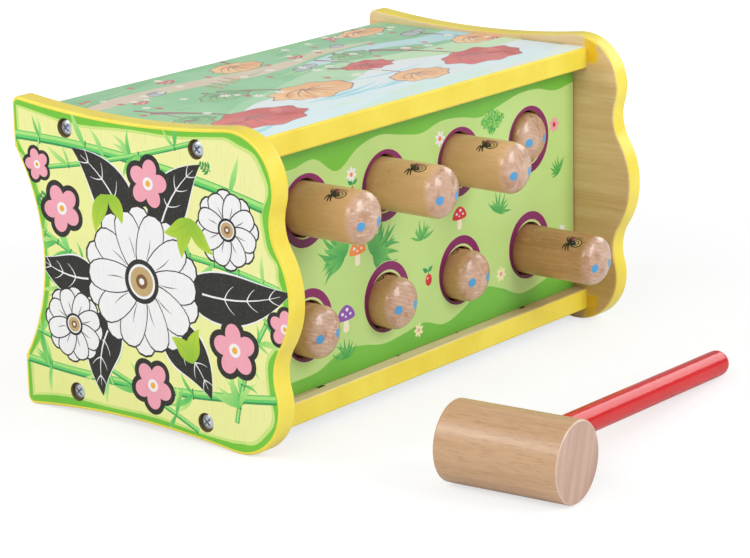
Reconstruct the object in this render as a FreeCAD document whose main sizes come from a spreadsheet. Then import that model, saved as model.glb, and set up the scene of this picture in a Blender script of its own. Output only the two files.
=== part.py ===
import FreeCAD, Part
import math
import os
import Sketcher
from FreeCAD import Vector

# Millimetres. The toy lies on one long side, as it is stored: X runs along its length,
# +Y points from the moles towards the feet it stands on in play, and Z = 0 is the floor.
COLUMNS = 4
ROWS = 2
RESTING_PUSHED_UP = 3

SIZES = [
    ("board_thickness", 9.7, "end panels"),
    ("side_board_thickness", 10.4, ""),
    ("column_pitch", 54.8, "between neighbouring moles of a row"),
    ("end_column_inset", 38.6, "from an outer column to the end panel"),
    ("row_spacing", 54.3, "between the two rows of moles"),
    ("row_inset", 27.45, "from a row to the side board"),
    ("case_depth", 126, "front to back edge of a side board"),
    ("front_edge_y", 6.9, "where the side boards' front edge stands"),
    ("edge_softening", 1.2, "rounding of the painted board edges"),
    ("panel_overhang", 5.6, "of the end panel past each side board"),
    ("panel_front_reach", 24.8, "of the middle lobe past the side boards"),
    ("centre_lobe_radius", 38.5, ""),
    ("corner_lobe_radius", 24, ""),
    ("corner_lobe_reach", 17.4, "of the corner lobes past the side boards"),
    ("valley_radius", 22, "hollow between two lobes"),
    ("waist_radius", 472, "shallow hollow of the panel's long sides"),
    ("foot_drop", 7, "of the feet past the side boards"),
    ("foot_corner_radius", 4, ""),
    ("arch_width", 96, "between the feet"),
    ("arch_depth", 14.5, ""),
    ("arch_end_radius", 2, ""),
    ("groove_depth", 3, "seats of the inner boards"),
    ("groove_clearance", 0.1, "round a board in its groove"),
    ("mole_board_thickness", 4, ""),
    ("mole_board_recess", 7.4, "behind the side boards' front edge"),
    ("mole_board_end_gap", 0.6, "to each end panel"),
    ("guide_board_thickness", 6, ""),
    ("guide_fork_gap", 6, "guide board to the foremost place of a fork"),
    ("base_board_thickness", 4, ""),
    ("base_board_inset", 4, "from the side boards' back edge"),
    ("inner_board_end_gap", 0.3, "of the guide and base boards to each end panel"),
    ("peg_diameter", 23.6, ""),
    ("peg_mid_reach", 17.5, "of a peg's tip past the side boards at mid travel"),
    ("peg_edge_radius", 5, ""),
    ("peg_crown_radius", 20, ""),
    ("peg_end_chamfer", 1, ""),
    ("peg_base_clearance", 1.9, "pushed-in peg to the base board"),
    ("hole_clearance", 1.3, "round a peg in the mole board"),
    ("guide_clearance", 0.3, "round a peg in the guide board"),
    ("full_throw", 18.6, "of a peg to either side of mid travel"),
    ("rest_throw", 12, "of the pegs in the photographed rest"),
    ("pin_setback", 7, "of the cross pin from a peg's inner end"),
    ("pin_diameter", 4, ""),
    ("pin_clearance", 0.05, "round a cross pin in its peg"),
    ("pin_end_recess", 0.5, "of a cross pin's end below the peg's side"),
    ("rocker_thickness", 8, ""),
    ("fork_clearance", 0.5, "beside a rocker in its fork"),
    ("fork_end_clearance", 1.6, "of the fork's bottom to the tilted rocker"),
    ("rocker_hub_diameter", 16, ""),
    ("rocker_arm_width", 13, ""),
    ("slot_clearance", 1, "round a cross pin in the rocker's slot"),
    ("slot_run_spare", 0.5, "of the slot past the pin at each end of travel"),
    ("lever_balance", 0.228, "share that spreads the pin's play over the travel"),
    ("axle_diameter", 6, ""),
    ("axle_running_clearance", 0.1, "round the axle in rockers and spacers"),
    ("axle_socket_clearance", 0.05, "round the axle in an end panel"),
    ("axle_socket_depth", 5, ""),
    ("axle_end_gap", 0.3, "to the bottom of each socket"),
    ("axle_chamfer", 0.5, ""),
    ("spacer_diameter", 11, ""),
    ("spacer_end_clearance", 0.3, "between a spacer and its neighbours"),
    ("screw_inset", 25, "from the side board's front and back edge"),
    ("screw_diameter", 3.5, ""),
    ("screw_length", 30, "below the head"),
    ("screw_point", 4, ""),
    ("screw_head_diameter", 6.8, ""),
    ("screw_head_height", 2.2, ""),
    ("screw_head_rim", 1.2, "height of the head's straight rim"),
    ("driver_recess_span", 4.2, ""),
    ("driver_recess_width", 0.9, ""),
    ("driver_recess_depth", 1.3, ""),
    ("driver_recess_turn", 45, "degrees, of the cross about its screw"),
    ("screw_head_clearance", 0.9, "round the head in its counterbore"),
    ("screw_head_sink", 0.6, "of the head below the panel's face"),
    ("screw_shank_clearance", 0.25, "round the shank in an end panel"),
    ("screw_pilot_clearance", 0.05, "round the shank in a side board"),
    ("screw_pilot_spare", 1, "of the pilot hole past the screw's point"),
    ("mallet_head_diameter", 35, ""),
    ("mallet_head_length", 58, ""),
    ("mallet_head_edge_radius", 1, ""),
    ("mallet_handle_diameter", 12, ""),
    ("mallet_handle_reach", 185.4, "from the head's axis"),
    ("mallet_handle_end_radius", 5, ""),
    ("mallet_handle_insert", 9, "of the handle past the head's axis"),
    ("mallet_handle_clearance", 0.05, "round the handle in the head"),
    ("mallet_bore_spare", 0.3, "of the bore past the handle's end"),
    ("mallet_turn", 5.2, "degrees, of the handle towards the toy"),
    ("mallet_aside", 100.8, "of the mallet head to the left of the middle"),
    ("mallet_before", 116.3, "of the mallet head in front of the side boards"),
]

# Lengths that follow from the driving sizes.
INNER_LENGTH = "(%d * Sizes.column_pitch + 2 * Sizes.end_column_inset)" % (COLUMNS - 1)
INNER_HEIGHT = "(%d * Sizes.row_spacing + 2 * Sizes.row_inset)" % (ROWS - 1)
CASE_HEIGHT = "(%s + 2 * Sizes.side_board_thickness)" % INNER_HEIGHT
PANEL_HALF_HEIGHT = "(%s / 2 + Sizes.panel_overhang)" % CASE_HEIGHT
FOOT_PLANE = "(Sizes.case_depth + Sizes.foot_drop)"
BOARD_SPAN = "(%s + 2 * Sizes.groove_depth - 2 * Sizes.groove_clearance)" % INNER_HEIGHT
BASE_FRONT = "(Sizes.case_depth - Sizes.base_board_inset - Sizes.base_board_thickness)"

# The axle's distance behind the front edge leaves a fully pushed peg clear of the base board.
AXLE_SETBACK = (
    "(%s - Sizes.peg_base_clearance - Sizes.full_throw - Sizes.pin_setback)" % BASE_FRONT
)
PIN_TO_TIP = "(%s + Sizes.peg_mid_reach)" % AXLE_SETBACK

# A rocker turns in proportion to its pegs' travel, and its slots take up the difference.
LEVER_LAW = (
    "(Sizes.row_spacing / 2 + Sizes.lever_balance * 2 * Sizes.full_throw ^ 2 / Sizes.row_spacing)"
)
FULL_SWING = "(Sizes.full_throw / %s * 180 / pi)" % LEVER_LAW
REST_SWING = "(Sizes.rest_throw / %s * 180 / pi)" % LEVER_LAW
SLOT_WIDTH = "(Sizes.pin_diameter + 2 * Sizes.slot_clearance)"
SLOT_NEAR = "(Sizes.row_spacing / 2 - Sizes.slot_run_spare)"
SLOT_FAR = "(sqrt((Sizes.row_spacing / 2) ^ 2 + Sizes.full_throw ^ 2) + Sizes.slot_run_spare)"
FORK_AHEAD = (
    "(Sizes.rocker_arm_width / 2 / cos(%s) + Sizes.peg_diameter / 2 * tan(%s)"
    " + Sizes.fork_end_clearance)" % (FULL_SWING, FULL_SWING)
)
GUIDE_BACK = "(%s - Sizes.full_throw - %s - Sizes.guide_fork_gap)" % (AXLE_SETBACK, FORK_AHEAD)

COUNTERBORE_DEPTH = "(Sizes.screw_head_height + Sizes.screw_head_sink)"
SCREW_IN_BOARD = "(Sizes.screw_length - Sizes.board_thickness + %s)" % COUNTERBORE_DEPTH
SCREW_HALF_ROW = "(%s / 2 - Sizes.side_board_thickness / 2)" % CASE_HEIGHT
MALLET_TILT = (
    "asin((Sizes.mallet_head_diameter - Sizes.mallet_handle_diameter) / 2"
    " / (Sizes.mallet_handle_reach - Sizes.mallet_handle_end_radius))"
)
TINY = 1e-4

doc = FreeCAD.newDocument("MoleToy")
sheet = doc.addObject("Spreadsheet::Sheet", "Sizes")
bodies = []


def fill_sheet():
    for row, (name, size, note) in enumerate(SIZES, 1):
        sheet.set("A%d" % row, name)
        sheet.set("B%d" % row, str(size))
        sheet.setAlias("B%d" % row, name)
        sheet.set("C%d" % row, note)
    doc.recompute()


def value(formula):
    return FreeCAD.Units.Quantity(sheet.evalExpression(formula)).Value


def new_body(label):
    body = doc.addObject("PartDesign::Body", label)
    body.Label = label
    bodies.append(body)
    return body


def place(body, x="0", y="0", z="0", turns=("0", "0", "0")):
    """Set a body down at x, y, z with its turns about Z, Y and X, in degrees."""
    spot = "vector(%s; %s; %s)" % (x, y, z)
    body.setExpression("Placement", "placement(%s; rotation(%s; %s; %s))" % ((spot,) + turns))


def origin_feature(body, role):
    return [feature for feature in body.Origin.OriginFeatures if feature.Role == role][0]


def new_sketch(body, name, role, right="0", up="0", out="0"):
    """A sketch on one of the body's planes, moved within it (right, up) or off it (out)."""
    sketch = body.newObject("Sketcher::SketchObject", name)
    sketch.AttachmentSupport = [(origin_feature(body, role), "")]
    sketch.MapMode = "FlatFace"
    sketch.setExpression("AttachmentOffset.Base.x", right)
    sketch.setExpression("AttachmentOffset.Base.y", up)
    sketch.setExpression("AttachmentOffset.Base.z", out)
    return sketch


def rule(sketch, kind, *elements):
    sketch.addConstraint(Sketcher.Constraint(kind, *elements))


def dimension(sketch, formula, kind, *elements):
    number = sketch.addConstraint(Sketcher.Constraint(kind, *elements, value(formula)))
    sketch.setExpression("Constraints[%d]" % number, formula)


def draw_circle(sketch, diameter):
    circle = sketch.addGeometry(Part.Circle(Vector(), Vector(0, 0, 1), value(diameter) / 2))
    rule(sketch, "Coincident", circle, 3, -1, 1)
    dimension(sketch, diameter, "Diameter", circle)


def draw_four_circles(sketch, diameter, width, height):
    """Equal circles at the corners of a rectangle centred on the sketch's origin."""
    right, up = value(width) / 2, value(height) / 2
    corners = [Vector(-right, -up), Vector(right, -up), Vector(right, up), Vector(-right, up)]
    radius = value(diameter) / 2
    first, second, third, fourth = [
        sketch.addGeometry(Part.Circle(corner, Vector(0, 0, 1), radius)) for corner in corners
    ]
    for other in (second, third, fourth):
        rule(sketch, "Equal", first, other)
    rule(sketch, "Symmetric", first, 3, third, 3, -1, 1)
    rule(sketch, "Symmetric", second, 3, fourth, 3, -1, 1)
    rule(sketch, "Horizontal", first, 3, second, 3)
    dimension(sketch, diameter, "Diameter", first)
    dimension(sketch, width, "DistanceX", first, 3, second, 3)
    dimension(sketch, height, "DistanceY", second, 3, third, 3)


def draw_rectangle(sketch, width, height):
    """A rectangle centred on the sketch's origin."""
    right, up = value(width) / 2, value(height) / 2
    corners = [Vector(-right, -up), Vector(right, -up), Vector(right, up), Vector(-right, up)]
    sides = []
    for start, end in zip(corners, corners[1:] + corners[:1]):
        sides.append(sketch.addGeometry(Part.LineSegment(start, end)))
    for side, following in zip(sides, sides[1:] + sides[:1]):
        rule(sketch, "Coincident", side, 2, following, 1)
    for across in sides[::2]:
        rule(sketch, "Horizontal", across)
    for upright in sides[1::2]:
        rule(sketch, "Vertical", upright)
    rule(sketch, "Symmetric", sides[0], 1, sides[2], 1, -1, 1)
    dimension(sketch, width, "DistanceX", sides[0], 1, sides[0], 2)
    dimension(sketch, height, "DistanceY", sides[1], 1, sides[1], 2)


def draw_oblong(sketch, centres, width):
    """Two half circles, centres apart along the sketch's Y, joined by straight sides."""
    radius = value(width) / 2
    top = Vector(0, value(centres) / 2)
    out = Vector(radius, 0)
    axis = Vector(0, 0, 1)
    upper = sketch.addGeometry(Part.ArcOfCircle(Part.Circle(top, axis, radius), 0, math.pi))
    lower = sketch.addGeometry(
        Part.ArcOfCircle(Part.Circle(-top, axis, radius), math.pi, 2 * math.pi)
    )
    left = sketch.addGeometry(Part.LineSegment(top - out, -top - out))
    right = sketch.addGeometry(Part.LineSegment(out - top, out + top))
    rule(sketch, "Tangent", upper, 2, left, 1)
    rule(sketch, "Tangent", left, 2, lower, 1)
    rule(sketch, "Tangent", lower, 2, right, 1)
    rule(sketch, "Tangent", right, 2, upper, 1)
    rule(sketch, "Vertical", left)
    rule(sketch, "Symmetric", upper, 3, lower, 3, -1, 1)
    dimension(sketch, width, "DistanceX", left, 1, right, 2)
    dimension(sketch, centres, "DistanceY", lower, 3, upper, 3)


def grow(body, sketch, length, both_ways=False, backwards=False):
    pad = body.newObject("PartDesign::Pad", "Pad")
    pad.Profile = sketch
    pad.SideType = "Symmetric" if both_ways else "One side"
    pad.Reversed = backwards
    pad.setExpression("Length", length)
    doc.recompute()
    return pad


def revolve(body, sketch, axis):
    turned = body.newObject("PartDesign::Revolution", "Revolution")
    turned.Profile = sketch
    turned.ReferenceAxis = (sketch, [axis])
    turned.Angle = 360
    doc.recompute()
    return turned


def cut(body, sketch, depth=None, both_ways=False, backwards=False):
    """Cut to a depth, or right through where none is given."""
    before = body.Tip.Shape.Volume
    pocket = body.newObject("PartDesign::Pocket", "Pocket")
    pocket.Profile = sketch
    pocket.SideType = "Symmetric" if both_ways else "One side"
    pocket.Reversed = backwards
    if depth is None:
        pocket.Type = "ThroughAll"
    else:
        pocket.setExpression("Length", depth)
    doc.recompute()
    if not pocket.Shape.Volume < before - TINY:
        raise RuntimeError("%s cuts nothing from %s" % (sketch.Label, body.Label))
    return pocket


def mirror(body, features, role):
    mirrored = body.newObject("PartDesign::Mirrored", "Mirrored")
    mirrored.Originals = features
    mirrored.MirrorPlane = (origin_feature(body, role), [""])
    body.Tip = mirrored
    doc.recompute()
    return mirrored


def repeat(body, features, *directions):
    """Copies in each direction, given as its axis, its number and its pitch."""
    grid = body.newObject("PartDesign::MultiTransform", "Grid")
    grid.Originals = features
    rows = []
    for role, count, pitch in directions:
        pattern = body.newObject("PartDesign::LinearPattern", "LinearPattern")
        pattern.Direction = (origin_feature(body, role), [""])
        pattern.Mode = "Spacing"
        pattern.Occurrences = count
        pattern.setExpression("Offset", pitch)
        rows.append(pattern)
    grid.Transformations = rows
    body.Tip = grid
    doc.recompute()
    return grid


def edge_names(feature, chosen):
    edges = feature.Shape.Edges
    return ["Edge%d" % number for number, edge in enumerate(edges, 1) if chosen(edge)]


def round_edges(body, chosen, radius):
    base = body.Tip
    fillet = body.newObject("PartDesign::Fillet", "Fillet")
    fillet.Base = (base, edge_names(base, chosen))
    fillet.setExpression("Radius", radius)
    doc.recompute()
    return fillet


def bevel_edges(body, chosen, size):
    base = body.Tip
    chamfer = body.newObject("PartDesign::Chamfer", "Chamfer")
    chamfer.Base = (base, edge_names(base, chosen))
    chamfer.setExpression("Size", size)
    doc.recompute()
    return chamfer


def meet(centre, radius, other, other_radius):
    """Where two circles that touch from outside meet."""
    return centre + (other - centre) * (radius / (radius + other_radius))


def circle_between(first, first_radius, second, second_radius, radius, side):
    """Centre of a circle that touches two others from outside, on the given side."""
    to_first, to_second = first_radius + radius, second_radius + radius
    line = second - first
    along = (to_first ** 2 - to_second ** 2 + line.Length ** 2) / (2 * line.Length)
    off = math.sqrt(to_first ** 2 - along ** 2)
    direction = Vector(line).normalize()
    across = Vector(-direction.y, direction.x) * side
    return first + direction * along + across * off


def add_arc(sketch, centre, radius, start, end):
    """An arc that runs anticlockwise from start to end."""
    angles = [math.atan2(point.y - centre.y, point.x - centre.x) for point in (start, end)]
    if angles[1] < angles[0]:
        angles[1] += 2 * math.pi
    circle = Part.Circle(centre, Vector(0, 0, 1), radius)
    return sketch.addGeometry(Part.ArcOfCircle(circle, *angles))


def draw_panel_half(sketch):
    """Upper half of the end panel: three lobes in front, a waist, and a foot beside an arch."""
    half_height, foot = value(PANEL_HALF_HEIGHT), value(FOOT_PLANE)
    front = value("Sizes.panel_front_reach")
    lobe, corner = value("Sizes.centre_lobe_radius"), value("Sizes.corner_lobe_radius")
    valley, waist = value("Sizes.valley_radius"), value("Sizes.waist_radius")
    toe = value("Sizes.foot_corner_radius")
    arch_half, arch_depth = value("Sizes.arch_width") / 2, value("Sizes.arch_depth")

    lobe_at = Vector(lobe - front, 0)
    corner_at = Vector(corner - value("Sizes.corner_lobe_reach"), half_height - corner)
    toe_at = Vector(foot - toe, half_height - toe)
    valley_at = circle_between(lobe_at, lobe, corner_at, corner, valley, 1)
    waist_at = circle_between(corner_at, corner, toe_at, toe, waist, 1)
    arch_radius = (arch_half ** 2 + arch_depth ** 2) / (2 * arch_depth)
    apex = Vector(foot - arch_depth, 0)
    arch_at = apex + Vector(arch_radius, 0)
    nose = Vector(-front, 0)
    toe_end, arch_end = Vector(foot, toe_at.y), Vector(foot, arch_half)

    lobe_to_valley = meet(lobe_at, lobe, valley_at, valley)
    valley_to_corner = meet(valley_at, valley, corner_at, corner)
    corner_to_waist = meet(corner_at, corner, waist_at, waist)
    waist_to_toe = meet(waist_at, waist, toe_at, toe)

    lobe_arc = add_arc(sketch, lobe_at, lobe, lobe_to_valley, nose)
    valley_arc = add_arc(sketch, valley_at, valley, lobe_to_valley, valley_to_corner)
    corner_arc = add_arc(sketch, corner_at, corner, corner_to_waist, valley_to_corner)
    waist_arc = add_arc(sketch, waist_at, waist, corner_to_waist, waist_to_toe)
    toe_arc = add_arc(sketch, toe_at, toe, toe_end, waist_to_toe)
    foot_line = sketch.addGeometry(Part.LineSegment(toe_end, arch_end))
    arch_arc = add_arc(sketch, arch_at, arch_radius, arch_end, apex)
    middle_line = sketch.addGeometry(Part.LineSegment(apex, nose))

    rule(sketch, "Tangent", lobe_arc, 1, valley_arc, 1)
    rule(sketch, "Tangent", valley_arc, 2, corner_arc, 2)
    rule(sketch, "Tangent", corner_arc, 1, waist_arc, 1)
    rule(sketch, "Tangent", waist_arc, 2, toe_arc, 2)
    rule(sketch, "Tangent", toe_arc, 1, foot_line, 1)
    rule(sketch, "Coincident", foot_line, 2, arch_arc, 1)
    rule(sketch, "Coincident", arch_arc, 2, middle_line, 1)
    rule(sketch, "Coincident", middle_line, 2, lobe_arc, 2)
    rule(sketch, "Vertical", foot_line)
    for element, point in ((middle_line, 1), (middle_line, 2), (lobe_arc, 3), (arch_arc, 3)):
        rule(sketch, "PointOnObject", element, point, -1)

    dimension(sketch, "Sizes.centre_lobe_radius", "Radius", lobe_arc)
    dimension(sketch, "Sizes.valley_radius", "Radius", valley_arc)
    dimension(sketch, "Sizes.corner_lobe_radius", "Radius", corner_arc)
    dimension(sketch, "Sizes.waist_radius", "Radius", waist_arc)
    dimension(sketch, "Sizes.foot_corner_radius", "Radius", toe_arc)
    dimension(sketch, FOOT_PLANE, "DistanceX", -1, 1, foot_line, 1)
    dimension(sketch, FOOT_PLANE + " - Sizes.arch_depth", "DistanceX", -1, 1, middle_line, 1)
    dimension(sketch, "Sizes.panel_front_reach", "DistanceX", middle_line, 2, -1, 1)
    dimension(sketch, FOOT_PLANE + " - Sizes.corner_lobe_radius + Sizes.corner_lobe_reach",
              "DistanceX", corner_arc, 3, foot_line, 1)
    dimension(sketch, PANEL_HALF_HEIGHT + " - Sizes.corner_lobe_radius",
              "DistanceY", -1, 1, corner_arc, 3)
    dimension(sketch, PANEL_HALF_HEIGHT + " - Sizes.foot_corner_radius",
              "DistanceY", -1, 1, toe_arc, 3)
    dimension(sketch, "Sizes.arch_width / 2", "DistanceY", -1, 1, arch_arc, 1)


def make_end_panel(label, side):
    """Shaped end board; its own X = 0 is the inner face, and it lies on the negative side."""
    body = new_body(label)
    outline = new_sketch(body, "Outline", "YZ_Plane")
    draw_panel_half(outline)
    slab = grow(body, outline, "Sizes.board_thickness", backwards=True)
    mirror(body, [slab], "XY_Plane")
    arch_end = value("Sizes.arch_width") / 2
    round_edges(body, lambda edge: edge.BoundBox.XLength > TINY and edge.BoundBox.YLength < TINY
                and abs(abs(edge.CenterOfMass.z) - arch_end) < TINY, "Sizes.arch_end_radius")
    round_edges(body, lambda edge: edge.BoundBox.XLength < TINY, "Sizes.edge_softening")

    spread = ("Sizes.case_depth - 2 * Sizes.screw_inset", "2 * " + SCREW_HALF_ROW)
    seats = new_sketch(body, "ScrewSeats", "YZ_Plane", right="Sizes.case_depth / 2",
                       out="-Sizes.board_thickness")
    draw_four_circles(seats, "Sizes.screw_head_diameter + 2 * Sizes.screw_head_clearance",
                      *spread)
    cut(body, seats, COUNTERBORE_DEPTH, backwards=True)
    ways = new_sketch(body, "ScrewWays", "YZ_Plane", right="Sizes.case_depth / 2")
    draw_four_circles(ways, "Sizes.screw_diameter + 2 * Sizes.screw_shank_clearance", *spread)
    cut(body, ways)

    socket = new_sketch(body, "AxleSocket", "YZ_Plane", right=AXLE_SETBACK)
    draw_circle(socket, "Sizes.axle_diameter + 2 * Sizes.axle_socket_clearance")
    cut(body, socket, "Sizes.axle_socket_depth")

    half_turn = "180" if side > 0 else "0"
    place(body, "%d * %s / 2" % (side, INNER_LENGTH), "Sizes.front_edge_y", PANEL_HALF_HEIGHT,
          ("0", half_turn, "0"))


def make_side_board(label, side):
    """Long board; its own origin is the middle of its front edge, and its inner face is below."""
    body = new_body(label)
    outline = new_sketch(body, "Outline", "XY_Plane", up="Sizes.case_depth / 2")
    draw_rectangle(outline, INNER_LENGTH, "Sizes.case_depth")
    grow(body, outline, "Sizes.side_board_thickness", both_ways=True)
    length = value(INNER_LENGTH)
    round_edges(body, lambda edge: edge.BoundBox.XLength > length - TINY, "Sizes.edge_softening")

    seats = (
        ("MoleBoardSeat", "Sizes.mole_board_recess + Sizes.mole_board_thickness / 2",
         "Sizes.mole_board_thickness"),
        ("GuideBoardSeat", GUIDE_BACK + " - Sizes.guide_board_thickness / 2",
         "Sizes.guide_board_thickness"),
        ("BaseBoardSeat", BASE_FRONT + " + Sizes.base_board_thickness / 2",
         "Sizes.base_board_thickness"),
    )
    for name, middle, thickness in seats:
        groove = new_sketch(body, name, "XY_Plane", up=middle,
                            out="-Sizes.side_board_thickness / 2")
        draw_rectangle(groove, INNER_LENGTH, thickness + " + 2 * Sizes.groove_clearance")
        cut(body, groove, "Sizes.groove_depth", backwards=True)

    pilots = []
    for name, inset in (("FrontPilot", "Sizes.screw_inset"),
                        ("BackPilot", "Sizes.case_depth - Sizes.screw_inset")):
        pilot = new_sketch(body, name, "YZ_Plane", right=inset, out=INNER_LENGTH + " / 2")
        draw_circle(pilot, "Sizes.screw_diameter + 2 * Sizes.screw_pilot_clearance")
        pilots.append(cut(body, pilot, SCREW_IN_BOARD + " + Sizes.screw_pilot_spare"))
    mirror(body, pilots, "YZ_Plane")

    half_turn = "180" if side < 0 else "0"
    place(body, "0", "Sizes.front_edge_y",
          "%s + %d * %s" % (PANEL_HALF_HEIGHT, side, SCREW_HALF_ROW), ("0", half_turn, "0"))


def make_inner_board(label, thickness, end_gap, front, hole=None):
    """Board held in the side boards' grooves; its own origin is the middle of its front face."""
    body = new_body(label)
    outline = new_sketch(body, "Outline", "XZ_Plane")
    draw_rectangle(outline, "%s - 2 * %s" % (INNER_LENGTH, end_gap), BOARD_SPAN)
    grow(body, outline, thickness, backwards=True)
    if hole:
        first = new_sketch(body, "PegHole", "XZ_Plane",
                           right="-%d * Sizes.column_pitch / 2" % (COLUMNS - 1),
                           up="-%d * Sizes.row_spacing / 2" % (ROWS - 1))
        draw_circle(first, hole)
        first_cut = cut(body, first)
        repeat(body, [first_cut], ("X_Axis", COLUMNS, "Sizes.column_pitch"),
               ("Z_Axis", ROWS, "Sizes.row_spacing"))
    place(body, "0", "Sizes.front_edge_y + " + front, PANEL_HALF_HEIGHT)


def make_inner_boards():
    make_inner_board("mole_board", "Sizes.mole_board_thickness", "Sizes.mole_board_end_gap",
                     "Sizes.mole_board_recess", "Sizes.peg_diameter + 2 * Sizes.hole_clearance")
    make_inner_board("guide_board", "Sizes.guide_board_thickness", "Sizes.inner_board_end_gap",
                     GUIDE_BACK + " - Sizes.guide_board_thickness",
                     "Sizes.peg_diameter + 2 * Sizes.guide_clearance")
    make_inner_board("base_board", "Sizes.base_board_thickness", "Sizes.inner_board_end_gap",
                     BASE_FRONT)


def make_rod(label, diameter, length, bevel):
    """Round rod along X, centred on its own origin."""
    body = new_body(label)
    section = new_sketch(body, "Section", "YZ_Plane")
    draw_circle(section, diameter)
    grow(body, section, length, both_ways=True)
    bevel_edges(body, lambda edge: edge.BoundBox.XLength < TINY, bevel)
    return body


def make_axle():
    length = "%s + 2 * (Sizes.axle_socket_depth - Sizes.axle_end_gap)" % INNER_LENGTH
    axle = make_rod("axle_rod", "Sizes.axle_diameter", length, "Sizes.axle_chamfer")
    place(axle, "0", "Sizes.front_edge_y + " + AXLE_SETBACK, PANEL_HALF_HEIGHT)


def column_x(column):
    return "%s * Sizes.column_pitch" % (column - (COLUMNS - 1) / 2)


def make_spacer(number):
    """Tube on the axle between two rockers, or between an outer rocker and its end panel."""
    gaps = "Sizes.rocker_thickness / 2 + Sizes.spacer_end_clearance"
    if 0 < number < COLUMNS:
        length = "Sizes.column_pitch - 2 * (%s)" % gaps
        middle = "%s * Sizes.column_pitch" % (number - COLUMNS / 2)
    else:
        side = -1 if number == 0 else 1
        length = "Sizes.end_column_inset - (%s) - Sizes.spacer_end_clearance" % gaps
        outer = "Sizes.spacer_end_clearance + (%s) / 2" % length
        middle = "%d * (%s / 2 - (%s))" % (side, INNER_LENGTH, outer)
    body = new_body("axle_spacer_%d" % (number + 1))
    section = new_sketch(body, "Section", "YZ_Plane")
    draw_circle(section, "Sizes.spacer_diameter")
    draw_circle(section, "Sizes.axle_diameter + 2 * Sizes.axle_running_clearance")
    grow(body, section, length, both_ways=True)
    place(body, middle, "Sizes.front_edge_y + " + AXLE_SETBACK, PANEL_HALF_HEIGHT)


def upper_throw(column):
    """How far a column's upper peg rests behind mid travel."""
    return "Sizes.full_throw" if column == RESTING_PUSHED_UP else "-Sizes.rest_throw"


def upper_swing(column):
    return "-" + FULL_SWING if column == RESTING_PUSHED_UP else REST_SWING


def make_rocker(column):
    """Two-armed lever on the axle, with a slot in each arm for a peg's cross pin."""
    body = new_body("rocker_%d" % (column + 1))
    arms = new_sketch(body, "Arms", "YZ_Plane")
    draw_oblong(arms, "2 * " + SLOT_FAR, "Sizes.rocker_arm_width")
    grow(body, arms, "Sizes.rocker_thickness", both_ways=True)
    hub = new_sketch(body, "Hub", "YZ_Plane")
    draw_circle(hub, "Sizes.rocker_hub_diameter")
    grow(body, hub, "Sizes.rocker_thickness", both_ways=True)
    bore = new_sketch(body, "Bore", "YZ_Plane")
    draw_circle(bore, "Sizes.axle_diameter + 2 * Sizes.axle_running_clearance")
    cut(body, bore, both_ways=True)
    slot = new_sketch(body, "Slot", "YZ_Plane", up="(%s + %s) / 2" % (SLOT_NEAR, SLOT_FAR))
    draw_oblong(slot, "%s - %s" % (SLOT_FAR, SLOT_NEAR), SLOT_WIDTH)
    slot_cut = cut(body, slot, both_ways=True)
    mirror(body, [slot_cut], "XY_Plane")
    place(body, column_x(column), "Sizes.front_edge_y + " + AXLE_SETBACK, PANEL_HALF_HEIGHT,
          ("0", "0", upper_swing(column)))


def draw_peg_half(sketch):
    """Half section of a peg beside its axis: a crowned tip, a straight side and a bevelled end."""
    radius, edge = value("Sizes.peg_diameter") / 2, value("Sizes.peg_edge_radius")
    crown, bevel = value("Sizes.peg_crown_radius"), value("Sizes.peg_end_chamfer")
    tip, end = -value(PIN_TO_TIP), value("Sizes.pin_setback")
    crown_at = Vector(0, tip + crown)
    reach = math.sqrt((crown - edge) ** 2 - (radius - edge) ** 2)
    edge_at = Vector(radius - edge, crown_at.y - reach)
    crown_to_edge = crown_at + (edge_at - crown_at) * (crown / (crown - edge))
    points = [Vector(radius, edge_at.y), Vector(radius, end - bevel), Vector(radius - bevel, end),
              Vector(0, end), Vector(0, tip)]
    side, slope, back, middle = [
        sketch.addGeometry(Part.LineSegment(*pair)) for pair in zip(points, points[1:])
    ]
    crown_arc = add_arc(sketch, crown_at, crown, points[-1], crown_to_edge)
    edge_arc = add_arc(sketch, edge_at, edge, crown_to_edge, points[0])
    for line, following in ((side, slope), (slope, back), (back, middle), (middle, crown_arc)):
        rule(sketch, "Coincident", line, 2, following, 1)
    rule(sketch, "Tangent", crown_arc, 2, edge_arc, 1)
    rule(sketch, "Tangent", edge_arc, 2, side, 1)
    rule(sketch, "Vertical", side)
    rule(sketch, "Horizontal", back)
    for element, point in ((middle, 1), (middle, 2), (crown_arc, 3)):
        rule(sketch, "PointOnObject", element, point, -2)
    dimension(sketch, "Sizes.peg_diameter / 2", "DistanceX", -1, 1, side, 1)
    dimension(sketch, "Sizes.peg_edge_radius", "Radius", edge_arc)
    dimension(sketch, "Sizes.peg_crown_radius", "Radius", crown_arc)
    dimension(sketch, PIN_TO_TIP, "DistanceY", middle, 2, -1, 1)
    dimension(sketch, "Sizes.pin_setback", "DistanceY", -1, 1, back, 1)
    dimension(sketch, "Sizes.peg_end_chamfer", "DistanceX", back, 1, side, 2)
    dimension(sketch, "Sizes.peg_end_chamfer", "DistanceY", side, 2, back, 1)


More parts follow.
